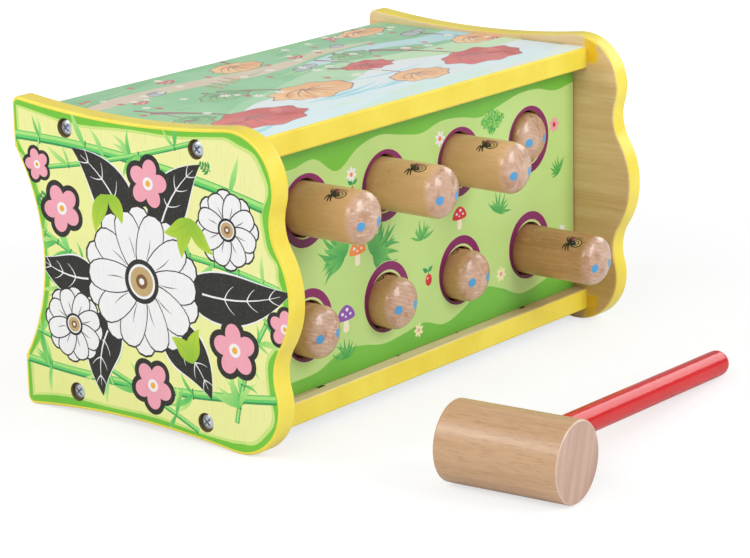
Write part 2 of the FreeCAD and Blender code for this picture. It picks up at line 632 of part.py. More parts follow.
def make_peg(row, column):
    """A mole: a round peg along Y with a fork for its rocker; its own origin is the cross pin."""
    name = "upper_peg" if row > 0 else "lower_peg"
    throw = "%d * (%s)" % (row, upper_throw(column))
    spot = (column_x(column), "Sizes.front_edge_y + %s + %s" % (AXLE_SETBACK, throw),
            "%s + %d * Sizes.row_spacing / 2" % (PANEL_HALF_HEIGHT, row))

    body = new_body("%s_%d" % (name, column + 1))
    profile = new_sketch(body, "Profile", "XY_Plane")
    draw_peg_half(profile)
    revolve(body, profile, "V_Axis")
    fork_length = "(%s + Sizes.pin_setback)" % FORK_AHEAD
    fork = new_sketch(body, "Fork", "XY_Plane", up="Sizes.pin_setback")
    draw_rectangle(fork, "Sizes.rocker_thickness + 2 * Sizes.fork_clearance",
                   "2 * " + fork_length)
    cut(body, fork, both_ways=True)
    hole = new_sketch(body, "PinHole", "YZ_Plane")
    draw_circle(hole, "Sizes.pin_diameter + 2 * Sizes.pin_clearance")
    cut(body, hole, both_ways=True)
    place(body, *spot)

    pin = make_rod("%s_pin_%d" % (name, column + 1), "Sizes.pin_diameter",
                   "Sizes.peg_diameter - 2 * Sizes.pin_end_recess", "Sizes.pin_end_recess")
    place(pin, *spot)


def draw_screw_half(sketch):
    """Half section of a pan-head screw above its axis; its own X = 0 is under the head."""
    head, rim = value("Sizes.screw_head_height"), value("Sizes.screw_head_rim")
    head_radius, radius = value("Sizes.screw_head_diameter") / 2, value("Sizes.screw_diameter") / 2
    length, point = value("Sizes.screw_length"), value("Sizes.screw_point")
    dome = (head_radius ** 2 + (head - rim) ** 2) / (2 * (head - rim))
    points = [Vector(-head, 0), Vector(length, 0), Vector(length - point, radius),
              Vector(0, radius), Vector(0, head_radius), Vector(-rim, head_radius)]
    middle, tip, shank, seat, edge = [
        sketch.addGeometry(Part.LineSegment(*pair)) for pair in zip(points, points[1:])
    ]
    crown = add_arc(sketch, Vector(dome - head, 0), dome, points[-1], points[0])
    for line, following in ((middle, tip), (tip, shank), (shank, seat), (seat, edge),
                            (edge, crown), (crown, middle)):
        rule(sketch, "Coincident", line, 2, following, 1)
    for element, number in ((middle, 1), (middle, 2), (crown, 3)):
        rule(sketch, "PointOnObject", element, number, -1)
    rule(sketch, "Horizontal", shank)
    rule(sketch, "Horizontal", edge)
    rule(sketch, "PointOnObject", seat, 1, -2)
    rule(sketch, "PointOnObject", seat, 2, -2)
    dimension(sketch, "Sizes.screw_head_height", "DistanceX", middle, 1, -1, 1)
    dimension(sketch, "Sizes.screw_length", "DistanceX", -1, 1, middle, 2)
    dimension(sketch, "Sizes.screw_point", "DistanceX", tip, 2, tip, 1)
    dimension(sketch, "Sizes.screw_diameter / 2", "DistanceY", -1, 1, seat, 1)
    dimension(sketch, "Sizes.screw_head_diameter / 2", "DistanceY", -1, 1, seat, 2)
    dimension(sketch, "Sizes.screw_head_rim", "DistanceX", edge, 2, edge, 1)


def make_panel_screws(label, side):
    """The four screws of one end panel, with cross recesses in their heads."""
    body = new_body(label)
    body.AllowCompound = True
    profile = new_sketch(body, "Profile", "XY_Plane")
    draw_screw_half(profile)
    features = [revolve(body, profile, "H_Axis")]
    span, width = "Sizes.driver_recess_span", "Sizes.driver_recess_width"
    for name, across, upward in (("RecessAcross", span, width), ("RecessUp", width, span)):
        recess = new_sketch(body, name, "YZ_Plane", out="-Sizes.screw_head_height")
        recess.setExpression("AttachmentOffset.Rotation.Angle", "Sizes.driver_recess_turn")
        draw_rectangle(recess, across, upward)
        features.append(cut(body, recess, "Sizes.driver_recess_depth", backwards=True))
    repeat(body, features, ("Y_Axis", 2, "Sizes.case_depth - 2 * Sizes.screw_inset"),
           ("Z_Axis", 2, "2 * " + SCREW_HALF_ROW))

    head_seat = "%s / 2 + Sizes.board_thickness - %s" % (INNER_LENGTH, COUNTERBORE_DEPTH)
    half_turn = "180" if side > 0 else "0"
    place(body, "%d * (%s)" % (side, head_seat), "Sizes.front_edge_y + Sizes.screw_inset",
          "%s + %d * %s" % (PANEL_HALF_HEIGHT, side, SCREW_HALF_ROW), ("0", half_turn, "0"))


def place_mallet(body):
    """Head on the floor, with the handle's far end sloping down to it."""
    place(body, "-Sizes.mallet_aside", "Sizes.front_edge_y - Sizes.mallet_before",
          "Sizes.mallet_head_diameter / 2", ("Sizes.mallet_turn", MALLET_TILT, "0"))


def make_mallet_head():
    """Round block along its own Y, bored from +X for the handle."""
    body = new_body("mallet_head")
    section = new_sketch(body, "Section", "XZ_Plane")
    draw_circle(section, "Sizes.mallet_head_diameter")
    grow(body, section, "Sizes.mallet_head_length", both_ways=True)
    round_edges(body, lambda edge: edge.BoundBox.YLength < TINY, "Sizes.mallet_head_edge_radius")
    bore = new_sketch(body, "Bore", "YZ_Plane",
                      out="-(Sizes.mallet_handle_insert + Sizes.mallet_bore_spare)")
    draw_circle(bore, "Sizes.mallet_handle_diameter + 2 * Sizes.mallet_handle_clearance")
    cut(body, bore, backwards=True)
    place_mallet(body)


def make_mallet_handle():
    """Round rod along X from inside the head to a rounded far end."""
    body = new_body("mallet_handle")
    section = new_sketch(body, "Section", "YZ_Plane", out="-Sizes.mallet_handle_insert")
    draw_circle(section, "Sizes.mallet_handle_diameter")
    grow(body, section, "Sizes.mallet_handle_reach + Sizes.mallet_handle_insert")
    round_edges(body, lambda edge: edge.BoundBox.XMin > TINY, "Sizes.mallet_handle_end_radius")
    place_mallet(body)


def write_parts():
    for thing in doc.Objects:
        if "Invalid" in thing.State or "Error" in thing.State:
            raise RuntimeError("%s of %s failed" % (thing.Name, thing.Label))
    for body in bodies:
        if body.Shape.isNull() or not body.Shape.isValid():
            raise RuntimeError("%s has no sound shape" % body.Label)
    os.makedirs("parts", exist_ok=True)
    for body in bodies:
        body.Shape.exportStep("parts/%s.step" % body.Label)


fill_sheet()
make_end_panel("left_end_panel", -1)
make_end_panel("right_end_panel", 1)
make_side_board("upper_side_board", 1)
make_side_board("lower_side_board", -1)
make_inner_boards()
make_axle()
for number in range(COLUMNS + 1):
    make_spacer(number)
for column in range(COLUMNS):
    make_rocker(column)
    make_peg(1, column)
    make_peg(-1, column)
make_panel_screws("left_panel_screws", -1)
make_panel_screws("right_panel_screws", 1)
make_mallet_head()
make_mallet_handle()
doc.recompute()
write_parts()
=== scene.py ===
import random
from math import atan2, cos, pi, radians, sin, sqrt

import bpy
from mathutils import Matrix, Vector
from mathutils.geometry import delaunay_2d_cdt


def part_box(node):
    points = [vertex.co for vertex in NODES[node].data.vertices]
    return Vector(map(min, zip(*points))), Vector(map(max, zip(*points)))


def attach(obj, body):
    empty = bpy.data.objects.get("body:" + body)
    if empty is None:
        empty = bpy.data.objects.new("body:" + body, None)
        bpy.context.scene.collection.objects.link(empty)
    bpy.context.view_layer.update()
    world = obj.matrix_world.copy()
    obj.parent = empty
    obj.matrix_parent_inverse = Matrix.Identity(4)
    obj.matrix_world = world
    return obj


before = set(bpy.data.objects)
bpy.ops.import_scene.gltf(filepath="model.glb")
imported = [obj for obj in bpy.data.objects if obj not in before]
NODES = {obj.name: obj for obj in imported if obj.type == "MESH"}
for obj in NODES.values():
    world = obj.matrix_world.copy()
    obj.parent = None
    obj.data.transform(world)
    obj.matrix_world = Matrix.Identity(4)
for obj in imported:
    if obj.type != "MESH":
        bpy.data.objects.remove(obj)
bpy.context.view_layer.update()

MM = 0.001
SCENE = bpy.context.scene

# Lengths of the toy in millimetres, in the frame of the model
CASE_X = 130.5
INNER_X = 120.8
FRONT_Y = 6.9
BACK_Y = 132.9
FOOT_Y = 139.9
BOARD_SPAN = FRONT_Y + BACK_Y
MIDDLE_Z = 70.6
SIDE_BOARD_REACH = 65
SCREW_Y = (31.9, 107.9)
SCREW_RISE = 59.8
SCREW_BORE = 4.5
SCREW_BORE_IN_PRINT = 4.35
COLUMNS = (-82.2, -27.4, 27.4, 82.2)
ROWS = (97.75, 43.45)
HOLE_RADIUS = 13.1
MOLE_BOARD_Y = 14.3
PEG_RADIUS = 11.8
CROWN_RADIUS = 20
OUT_TIP_Y = -10

# Outline of an end board: radii, and where its middle and its corner lobes are centred behind its front
LOBE, VALLEY, CORNER, WAIST, TOE = 38.5, 22, 24, 472, 4
LOBE_Y, CORNER_Y = 13.7, 6.6
ARCH_HALF, ARCH_RISE = 48, 14.5

# Purple rings of the mole board: radii of their rim, ring and heart, their heights and their shift
RING_RIM, RING, RING_HEART = 16.6, 16.3, 12.4
RING_ROWS = (96.4, 45.2)
RING_SHIFT = 0.7

# Angles of the mallet in degrees: the whole turned about Z, and its handle's slope
MALLET_TURN = 5.2
HANDLE_SLOPE = 3.6


def srgb(colour):
    """Linear colour of a display colour, which is written as 0xRRGGBB."""
    def linear(level):
        level /= 255
        return level / 12.92 if level <= 0.04045 else ((level + 0.055) / 1.055) ** 2.4
    return (*(linear(colour >> shift & 255) for shift in (16, 8, 0)), 1)


def put(name, data):
    item = bpy.data.objects.new(name, data)
    SCENE.collection.objects.link(item)
    return item


# Materials
class Graph:
    """A node tree being built; each method returns the socket that carries its result."""

    def __init__(self, owner):
        owner.use_nodes = True
        self.tree = owner.node_tree
        self.tree.nodes.clear()

    def feed(self, socket, value):
        if isinstance(value, bpy.types.NodeSocket):
            self.tree.links.new(value, socket)
        elif value is not None:
            socket.default_value = value

    def add(self, kind, inputs=None, **settings):
        node = self.tree.nodes.new("ShaderNode" + kind)
        for label, value in settings.items():
            setattr(node, label, value)
        for label, value in (inputs or {}).items():
            self.feed(node.inputs[label], value)
        return node

    def noise(self, where, scale, detail=3, roughness=0.5, distortion=0):
        inputs = {"Vector": where, "Scale": scale, "Detail": detail, "Roughness": roughness,
                  "Distortion": distortion}
        return self.add("TexNoise", inputs).outputs["Fac"]

    def speckle(self, where, scale):
        return self.add("TexVoronoi", {"Vector": where, "Scale": scale}).outputs["Distance"]

    def bands(self, where, scale, distortion, axis="X"):
        inputs = {"Vector": where, "Scale": scale, "Distortion": distortion, "Detail": 2,
                  "Detail Scale": 1.2}
        return self.add("TexWave", inputs, bands_direction=axis).outputs["Fac"]

    def ease(self, value, low, high, to_low=0, to_high=1):
        """The value taken smoothly from one range to another, held at both ends."""
        inputs = {"Value": value, "From Min": low, "From Max": high, "To Min": to_low, "To Max": to_high}
        return self.add("MapRange", inputs, interpolation_type="SMOOTHSTEP").outputs["Result"]

    def calc(self, operation, first, second=None):
        return self.add("Math", {0: first, 1: second}, operation=operation).outputs[0]

    def plus(self, first, second):
        return self.calc("ADD", first, second)

    def minus(self, first, second):
        return self.calc("SUBTRACT", first, second)

    def times(self, first, second):
        return self.calc("MULTIPLY", first, second)

    def away(self, value, middle=0):
        """Distance of the value from the middle, to either side."""
        return self.calc("ABSOLUTE", self.minus(value, middle) if middle else value)

    def axes(self, where):
        return tuple(self.add("SeparateXYZ", {0: where}).outputs)

    def mix(self, share, first, second, blend="MIX"):
        """The second colour over the first; each is a socket or a display colour."""
        first, second = (srgb(ink) if isinstance(ink, int) else ink for ink in (first, second))
        inputs = {"Factor": share, 6: first, 7: second}
        return self.add("Mix", inputs, data_type="RGBA", blend_type=blend).outputs[2]

    def tint(self, colour, value, low, high, share, ink):
        """The ink over the colour, its share rising from nothing as the value goes from low to high."""
        return self.mix(self.ease(value, low, high, 0, share), colour, ink)

    def ramp(self, share, *stops):
        node = self.add("ValToRGB", {0: share})
        line = node.color_ramp.elements
        while len(line) < len(stops):
            line.new(0.5)
        for element, (position, colour) in zip(line, stops):
            element.position = position
            element.color = srgb(colour)
        return node.outputs[0]


class Finish(Graph):
    """A material with one shader; its place is the object's own coordinates in millimetres."""

    def __init__(self, name, **shader_values):
        self.material = bpy.data.materials.new(name)
        super().__init__(self.material)
        self.shader = self.add("BsdfPrincipled", shader_values)
        self.add("OutputMaterial", {"Surface": self.shader.outputs[0]})
        self.where = self.add("TexCoord")
        self.place = self.stretch((1 / MM, 1 / MM, 1 / MM), source=self.where.outputs["Object"])

    def stretch(self, scale, turn=None, source=None):
        """Coordinates turned by angles in degrees and then scaled."""
        where = source or self.place
        if turn:
            angles = [radians(angle) for angle in turn]
            where = self.add("Mapping", {"Vector": where, "Rotation": angles}).outputs[0]
        return self.add("Mapping", {"Vector": where, "Scale": scale}).outputs[0]

    def facing(self):
        """How squarely the surface faces forwards or backwards."""
        return self.away(self.axes(self.where.outputs["Normal"])[1])

    def finish(self, colour, roughness, height, depth, strength):
        """The material with this colour, roughness and relief, its depth in millimetres."""
        inputs = {"Height": height, "Distance": depth * MM, "Strength": strength}
        normal = self.add("Bump", inputs).outputs[0]
        for label, value in (("Base Color", colour), ("Roughness", roughness), ("Normal", normal),
                             ("Coat Normal", normal)):
            self.feed(self.shader.inputs[label], value)
        return self.material

    def wooden(self, colour, tone, smooth, rough, relief, depth, strength):
        """The same, with a roughness that follows the tone."""
        return self.finish(colour, self.ease(tone, 0.3, 0.7, smooth, rough), relief, depth, strength)


def grain(kit, along, light, dark, turn=None, ring=0.16, ring_share=0.25, spread=1):
    """Wood colour, relief and tone with the fibres along one axis; cut ends show rings and pores."""
    turned = kit.stretch((1, 1, 1), turn)
    fibre, flecks = (kit.stretch([squeeze if axis == along else 1 for axis in "XYZ"], source=turned)
                     for squeeze in (0.045, 0.13))
    broad = kit.noise(fibre, 0.1 * spread, 3, 0.5, 0.6)
    rings = kit.bands(fibre, ring, 6, "X" if along != "X" else "Z")
    threads = kit.noise(fibre, 1.3, 5, 0.6)
    pores = kit.ease(kit.noise(flecks, 3.4, 2), 0.64, 0.78)
    tone = kit.plus(kit.times(rings, ring_share), kit.times(threads, 0.4))
    tone = kit.plus(tone, kit.times(broad, 0.6 - ring_share))
    wood = kit.ramp(tone, (0.28, light), (0.72, dark))
    wood = kit.mix(kit.times(pores, 0.3), wood, dark)
    return wood, kit.minus(threads, kit.times(pores, 0.8)), tone


def yellow_over(kit):
    """Yellow satin paint, slightly cloudy, with fine brush lines and worn scuffs."""
    cloud = kit.noise(kit.place, 0.045)
    paint = kit.ramp(cloud, (0.3, 0xEED63C), (0.7, 0xF6E454))
    paint = kit.tint(paint, kit.noise(kit.place, 0.9, 4), 0.55, 0.8, 0.15, 0xDEBA2C)
    return kit.tint(paint, kit.noise(kit.place, 0.4, 6, 0.75, 0.5), 0.6, 0.72, 0.3, 0xC4A848)


def half_painted(kit, wood, relief, paint, yellow, gloss):
    """Bare wood where the paint's share is 0, and smooth yellow where it is 1."""
    height = kit.times(relief, kit.ease(paint, 0, 1, 1, 0.3))
    roughness = kit.ease(paint, 0, 1, 0.62, gloss)
    return kit.finish(kit.mix(paint, wood, yellow), roughness, height, 0.06, 0.5)


def from_screw(kit, y, z):
    """Offsets from the axis of the nearest screw of an end board, in Y and Z."""
    side = kit.minus(kit.away(y, sum(SCREW_Y) / 2), (SCREW_Y[1] - SCREW_Y[0]) / 2)
    return side, kit.minus(kit.away(z, MIDDLE_Z), SCREW_RISE)


def panel_material():
    """Shaped end board: painted edges, bare wood inside and in the screws' counterbores."""
    kit = Finish("painted_end_board", **{"Coat Weight": 0.15, "Coat Roughness": 0.25})
    wood, relief, _ = grain(kit, "Y", 0xF0D8A6, 0xCEA870, ring_share=0.12, spread=1.4)
    x, y, z = kit.axes(kit.place)
    wood = kit.tint(wood, z, 70, 10, 0.45, 0xD6A056)
    wander = kit.noise(kit.place, 0.35)
    depth = kit.plus(kit.away(x), kit.times(wander, 0.3))
    side, rise = from_screw(kit, y, z)
    bore = kit.calc("SQRT", kit.plus(kit.times(side, side), kit.times(rise, rise)))
    bore = kit.ease(bore, SCREW_BORE + 0.05, SCREW_BORE - 0.05)
    # Counterbore walls coloured a mottled dark olive brown, much darker than the board's bare wood
    bore_mottle = kit.noise(kit.stretch((0.4, 1.6, 1.6)), 0.8, 4)
    wood = kit.mix(bore, wood, kit.ramp(bore_mottle, (0.35, 0x88784C), (0.65, 0x685438)))
    # Paint that ran over the front corners, pooled and amber on the bare inner face
    smear_y = kit.ease(kit.plus(y, kit.times(wander, 6)), 3.4, 4.6)
    smear_z = kit.ease(kit.plus(kit.away(z, MIDDLE_Z), kit.times(wander, 7)), 60, 62)
    smear = kit.times(kit.times(smear_y, smear_z), kit.ease(y, 9.5, 7.5))
    pooled = kit.times(smear, kit.ease(depth, INNER_X + 0.45, INNER_X + 0.3))
    edge = kit.ease(depth, INNER_X + 0.45, INNER_X + 0.6)
    paint = kit.calc("MAXIMUM", kit.times(edge, kit.minus(1, bore)), smear)
    yellow = kit.mix(pooled, yellow_over(kit), 0xE8BE28)
    return half_painted(kit, wood, relief, paint, yellow, 0.3)


def board_material():
    """Long side board: yellow edges and outer face, the rest bare and redder towards its far end."""
    kit = Finish("painted_side_board")
    wood, relief, _ = grain(kit, "X", 0xF2E0B6, 0xDCC296)
    x, y, z = kit.axes(kit.place)
    wood = kit.tint(wood, x, 20, 100, 0.6, 0xB28054)
    wander = kit.times(kit.noise(kit.place, 0.3), 0.35)
    half = (BACK_Y - FRONT_Y) / 2
    edge = kit.ease(kit.plus(kit.away(y, BOARD_SPAN / 2), wander), half - 0.25, half - 0.1)
    face = kit.ease(kit.away(z, MIDDLE_Z), SIDE_BOARD_REACH - 0.6, SIDE_BOARD_REACH - 0.3)
    # Painted shadow along the joint with the mole board, a red line along its near end, and black chips
    front = kit.ease(y, 15.5, 14.5)
    wood = kit.mix(kit.times(kit.ease(y, 13.6, 14.2, 0, 0.75), front), wood, 0x604222)
    line = kit.times(kit.ease(kit.away(y, 12.7), 0.45, 0.2), kit.ease(x, -77, -79, 0, 0.8))
    wood = kit.mix(line, wood, 0xA04C2C)
    for spot, size in ((-75.8, 3), (75.5, 2.6), (24, 1.2), (-20, 1.4)):
        near = kit.ease(kit.away(x, spot), size, size * 0.6)
        chip = kit.ease(kit.plus(y, wander), 14.4 - size * 0.7, 14.8 - size * 0.7)
        wood = kit.mix(kit.times(kit.times(near, chip), front), wood, 0x18100C)
    return half_painted(kit, wood, relief, kit.calc("MAXIMUM", edge, face), yellow_over(kit), 0.42)


def plain_wood(name, along, light, dark, ring_share=0.25):
    kit = Finish(name)
    wood, relief, tone = grain(kit, along, light, dark, ring_share=ring_share)
    return kit.wooden(wood, tone, 0.5, 0.63, relief, 0.05, 0.5)


def peg_material(name, light, dark, patch_share, arc_share, dot_share, fleck_share):
    """Varnished round peg: soft lengthwise grain, and paler, rosier end grain on its crown."""
    kit = Finish(name, **{"Coat Roughness": 0.14, "IOR": 1.42})
    wood, relief, tone = grain(kit, "Y", light, dark, ring_share=0.02, spread=0.7)
    # Painted shade: the side turns browner towards the board, where the peg goes in
    wood = kit.tint(wood, kit.axes(kit.place)[1], -14, 15, 0.35, 0x9C643A)
    pale = kit.noise(kit.stretch((1, 0.5, 1)), 0.4, 5, 0.7, 0.8)
    wood = kit.tint(wood, pale, 0.46, 0.74, 0.22, 0xECCC9E)
    wood = kit.tint(wood, kit.speckle(kit.stretch((1, 0.6, 1)), 0.2), 0.09, 0.04, 0.5, 0x845834)
    patches = kit.noise(kit.stretch((1, 0.1, 0.7), (0, 24, 0)), 0.2, 4, 0.6, 0.6)
    end = kit.ramp(patches, (0.3, 0xD4B29A), (0.52, 0xC8A084), (0.72, 0xBA8C6E))
    end = kit.tint(end, patches, 0.54, 0.66, patch_share, 0xA47048)
    arcs = kit.bands(kit.stretch((1, 0.02, 1), (0, 68, 0)), 0.17, 5)
    end = kit.tint(end, arcs, 0.5, 0.95, arc_share, 0x9E643E)
    end = kit.tint(end, kit.speckle(kit.place, 0.42), 0.12, 0.05, dot_share, 0x68402C)
    flecks = kit.noise(kit.stretch((0.24, 0.5, 1.4), (0, -12, 0)), 0.7, 3, 0.6, 0.5)
    end = kit.tint(end, flecks, 0.52, 0.7, fleck_share, 0xE6CEBC)
    facing = kit.facing()
    kit.feed(kit.shader.inputs["Coat Weight"], kit.ease(facing, 0, 0.4, 0.2, 1))
    return kit.wooden(kit.tint(wood, facing, 0.04, 0.85, 1, end), tone, 0.3, 0.42, relief, 0.04, 0.25)


def mallet_wood():
    """Varnished beech turned across the handle: long grain round the head, end grain on its two faces."""
    kit = Finish("mallet_beech", **{"Coat Weight": 0.8, "Coat Roughness": 0.28})
    turn = (0, 0, -MALLET_TURN)
    wood, relief, tone = grain(kit, "Y", 0xD8B288, 0xBA8E66, turn, 0.1, 0.08)
    dashes = kit.noise(kit.stretch((1, 0.1, 1), turn), 1.5, 3, 0.7)
    wood = kit.tint(wood, dashes, 0.48, 0.7, 0.48, 0xA0704C)
    streaks = kit.noise(kit.stretch((1, 0.3, 0.08), (0, -16, 0)), 0.2, 2, 0.4)
    end = kit.ramp(streaks, (0.34, 0xC8A490), (0.7, 0xAE846E))
    facing = kit.facing()
    # Painted highlight: a pale band round the rounded rim of each end face
    rim = kit.times(kit.ease(facing, 0.3, 0.7), kit.ease(facing, 0.985, 0.9))
    colour = kit.tint(wood, facing, 0.6, 0.95, 1, end)
    colour = kit.mix(kit.times(rim, 0.5), colour, 0xECD6C4)
    return kit.wooden(colour, tone, 0.36, 0.48, relief, 0.05, 0.3)


def lacquer():
    """Red gloss lacquer over a turned stick, its grain just felt through the film."""
    kit = Finish("red_gloss", IOR=1.45)
    threads = kit.noise(kit.stretch((0.04, 1, 1), (0, HANDLE_SLOPE, -MALLET_TURN)), 1.2, 4)
    colour = kit.ramp(kit.noise(kit.place, 0.06), (0.3, 0xCA080E), (0.7, 0xD61016))
    colour = kit.tint(colour, threads, 0.5, 0.8, 0.35, 0xA40A12)
    return kit.wooden(colour, threads, 0.12, 0.2, threads, 0.05, 0.3)


def screw_zinc():
    """Zinc plating with a few scuffs; painted shade makes the cross recesses dark blue."""
    kit = Finish("zinc_plate", Metallic=0.7)
    offsets = from_screw(kit, *kit.axes(kit.place)[1:])
    # Painted shade in the recesses: a dark blue diagonal cross round each screw's axis
    slants = [kit.away(kit.calc(way, *offsets)) for way in ("ADD", "SUBTRACT")]
    narrow = kit.ease(kit.calc("MINIMUM", *slants), 0.75, 0.45)
    cross = kit.times(narrow, kit.ease(kit.calc("MAXIMUM", *slants), 2.7, 2.1))
    scuff = kit.noise(kit.place, 1.3, 4, 0.6)
    colour = kit.ramp(scuff, (0.35, 0xECEFF6), (0.65, 0xB0B8C8))
    colour = kit.mix(kit.times(cross, 0.8), colour, 0x425876)
    return kit.wooden(colour, scuff, 0.2, 0.42, scuff, 0.03, 0.5)


def drawn_steel():
    """Bright steel with fine lines along its length."""
    kit = Finish("drawn_steel", Metallic=1)
    colour = kit.mix(kit.ease(kit.noise(kit.place, 1.1, 4), 0.4, 0.7), 0xC4C6CA, 0xA8AAB0)
    lines = kit.noise(kit.stretch((0.05, 1, 1)), 3)
    return kit.wooden(colour, lines, 0.24, 0.42, lines, 0.02, 0.4)


def ink_material(name, grain_scale, wear, painted_sheen=0):
    """Printed and varnished board: its motifs' colours with the board's streaks through them, under a painted
    sheen of pale haze for the varnish's reflection.
    """
    kit = Finish(name, IOR=1.4)
    colour = kit.add("Attribute", attribute_name="ink").outputs["Color"]
    streaks = kit.noise(kit.stretch(grain_scale), 1.6, 4, 0.6)
    mottle = kit.noise(kit.place, 0.05)
    colour = kit.tint(colour, streaks, 0.52, 0.78, wear, 0x786846)
    colour = kit.tint(colour, kit.noise(kit.place, 2.6), 0.56, 0.8, 0.12, 0xFAFAEC)
    colour = kit.mix(kit.ease(mottle, 0.35, 0.7, 0, 0.1), colour, 0xFFFFF0, "SOFT_LIGHT")
    # Painted reflection: pale cloudy haze over the print, as strong as painted_sheen
    colour = kit.mix(kit.ease(mottle, 0.3, 0.7, painted_sheen * 0.7, painted_sheen * 1.3), colour, 0xFCFAF0)
    return kit.finish(colour, kit.ease(streaks, 0.3, 0.75, 0.34, 0.46), streaks, 0.035, 0.4)


# Flat shapes, drawn in millimetres
def turned(points, centre, angle):
    cosine, sine = cos(angle), sin(angle)
    return [(centre[0] + cosine * x - sine * y, centre[1] + sine * x + cosine * y) for x, y in points]


def polar(centre, angle, across, up=None):
    """The point of a circle, or of an oval of this height, at an angle."""
    return centre[0] + cos(angle) * across, centre[1] + sin(angle) * (across if up is None else up)


def spokes(count, turn=0):
    """Angles spread evenly over a full turn."""
    return [turn + 2 * pi * step / count for step in range(count)]


def oval(centre, across, up, angle=0, count=28):
    return turned([polar((0, 0), spoke, across, up) for spoke in spokes(count)], centre, angle)


def disc(centre, radius, count=28):
    return oval(centre, radius, radius, count=count)


def smooth(points, steps=6):
    """Closed Catmull-Rom curve through the points."""
    curve = []
    count = len(points)
    for index in range(count):
        p, q, r, s = (Vector(points[(index + shift) % count]) for shift in (-1, 0, 1, 2))
        for step in range(steps):
            t = step / steps
            curve.append(tuple(0.5 * ((2 * q) + (r - p) * t + (2 * p - 5 * q + 4 * r - s) * t * t
                                      + (3 * q - p - 3 * r + s) * t ** 3)))
    return curve


def bow(start, end, bend, steps=10):
    """Points of a shallow bow from start to end; bend is its height as a share of the chord."""
    start, end = Vector(start), Vector(end)
    chord = end - start
    side = Vector((-chord.y, chord.x)) * bend
    return [start + chord * t + side * 4 * t * (1 - t)
            for t in (step / steps for step in range(steps + 1))]


def stroke(path, widths):
    """Outline of a line drawn along a path; the widths are spread evenly from its start to its end."""
    path = [Vector(point) for point in path]
    left, right = [], []
    for index, point in enumerate(path):
        ahead = path[min(index + 1, len(path) - 1)] - path[max(index - 1, 0)]
        side = Vector((-ahead.y, ahead.x)).normalized()
        spot = index / (len(path) - 1) * (len(widths) - 1)
        low = min(int(spot), len(widths) - 2)
        half = (widths[low] + (widths[low + 1] - widths[low]) * (spot - low)) / 2
        left.append(tuple(point + side * half))
        right.append(tuple(point - side * half))
    return left + right[::-1]


def leaf(base, tip, width, bend=0, steps=9):
    """Pointed leaf, widest two fifths of the way along."""
    widths = [width * (sin(pi * (step / steps) ** 0.75) + 0.02) for step in range(steps + 1)]
    return stroke(bow(base, tip, bend, steps), widths)


def petal(centre, angle, near, far, width, steps=9):
    """Round-ended petal from one distance to another along an angle."""
    line = [(near + (far - near) * (1 - cos(pi * step / steps)) / 2, 0)
            for step in range(steps + 1)]
    widths = [width * (sin(pi * step / steps) ** 0.8) * (0.72 + 0.4 * step / steps) + 0.02
              for step in range(steps + 1)]
    return turned(stroke(line, widths), centre, angle)


def grown(points, centre, factor):
    return [(centre[0] + (x - centre[0]) * factor, centre[1] + (y - centre[1]) * factor)
            for x, y in points]


class Print:
    """Artwork inside one outline, cut into one thin sheet: each shape hides what was drawn before it."""

    def __init__(self, outline, ground):
        self.shapes, self.inks = [], []
        self.draw(outline, ground)

    def draw(self, outline, ink):
        """Ink is a display colour, or two and the points between which they fade, or None for a hole."""
        area = sum(a[0] * b[1] - b[0] * a[1] for a, b in zip(outline, outline[1:] + outline[:1]))
        self.shapes.append(outline if area > 0 else outline[::-1])
        if ink is not None:
            inks, span = (ink[:2], ink[2:]) if isinstance(ink, tuple) else ((ink,), None)
            ink = [srgb(colour) for colour in inks], span
        self.inks.append(ink)

    def line(self, path, width, ink):
        self.draw(stroke(path, width if isinstance(width, tuple) else (width, width)), ink)

    def colour(self, ink, point):
        inks, span = ink
        if not span:
            return inks[0]
        start, end = (Vector(place) for place in span)
        way = end - start
        share = max(0, min(1, (Vector(point) - start).dot(way) / way.length_squared))
        return tuple(a + (b - a) * share for a, b in zip(*inks))

    def triangles(self, spacing):
        """Flat points, and triangles with the ink on top of each one; nothing in the holes."""
        points, faces = [], []
        for shape in self.shapes:
            faces.append(list(range(len(points), len(points) + len(shape))))
            points += [Vector(point) for point in shape]
        if spacing:
            low, high = ([pick(point[axis] for point in self.shapes[0]) for axis in (0, 1)]
                         for pick in (min, max))
            steps = [int((high[axis] - low[axis]) / spacing) for axis in (0, 1)]
            points += [Vector((low[0] + spacing * (i + 0.5 * (j % 2)), low[1] + spacing * j))
                       for i in range(steps[0]) for j in range(1, steps[1])]
        verts, _, cut, _, _, owners = delaunay_2d_cdt(points, [], faces, 0, 1e-4)
        top = (self.inks[max(owner)] if 0 in owner else None for owner in owners)
        return verts, [(face, ink) for face, ink in zip(cut, top) if ink]


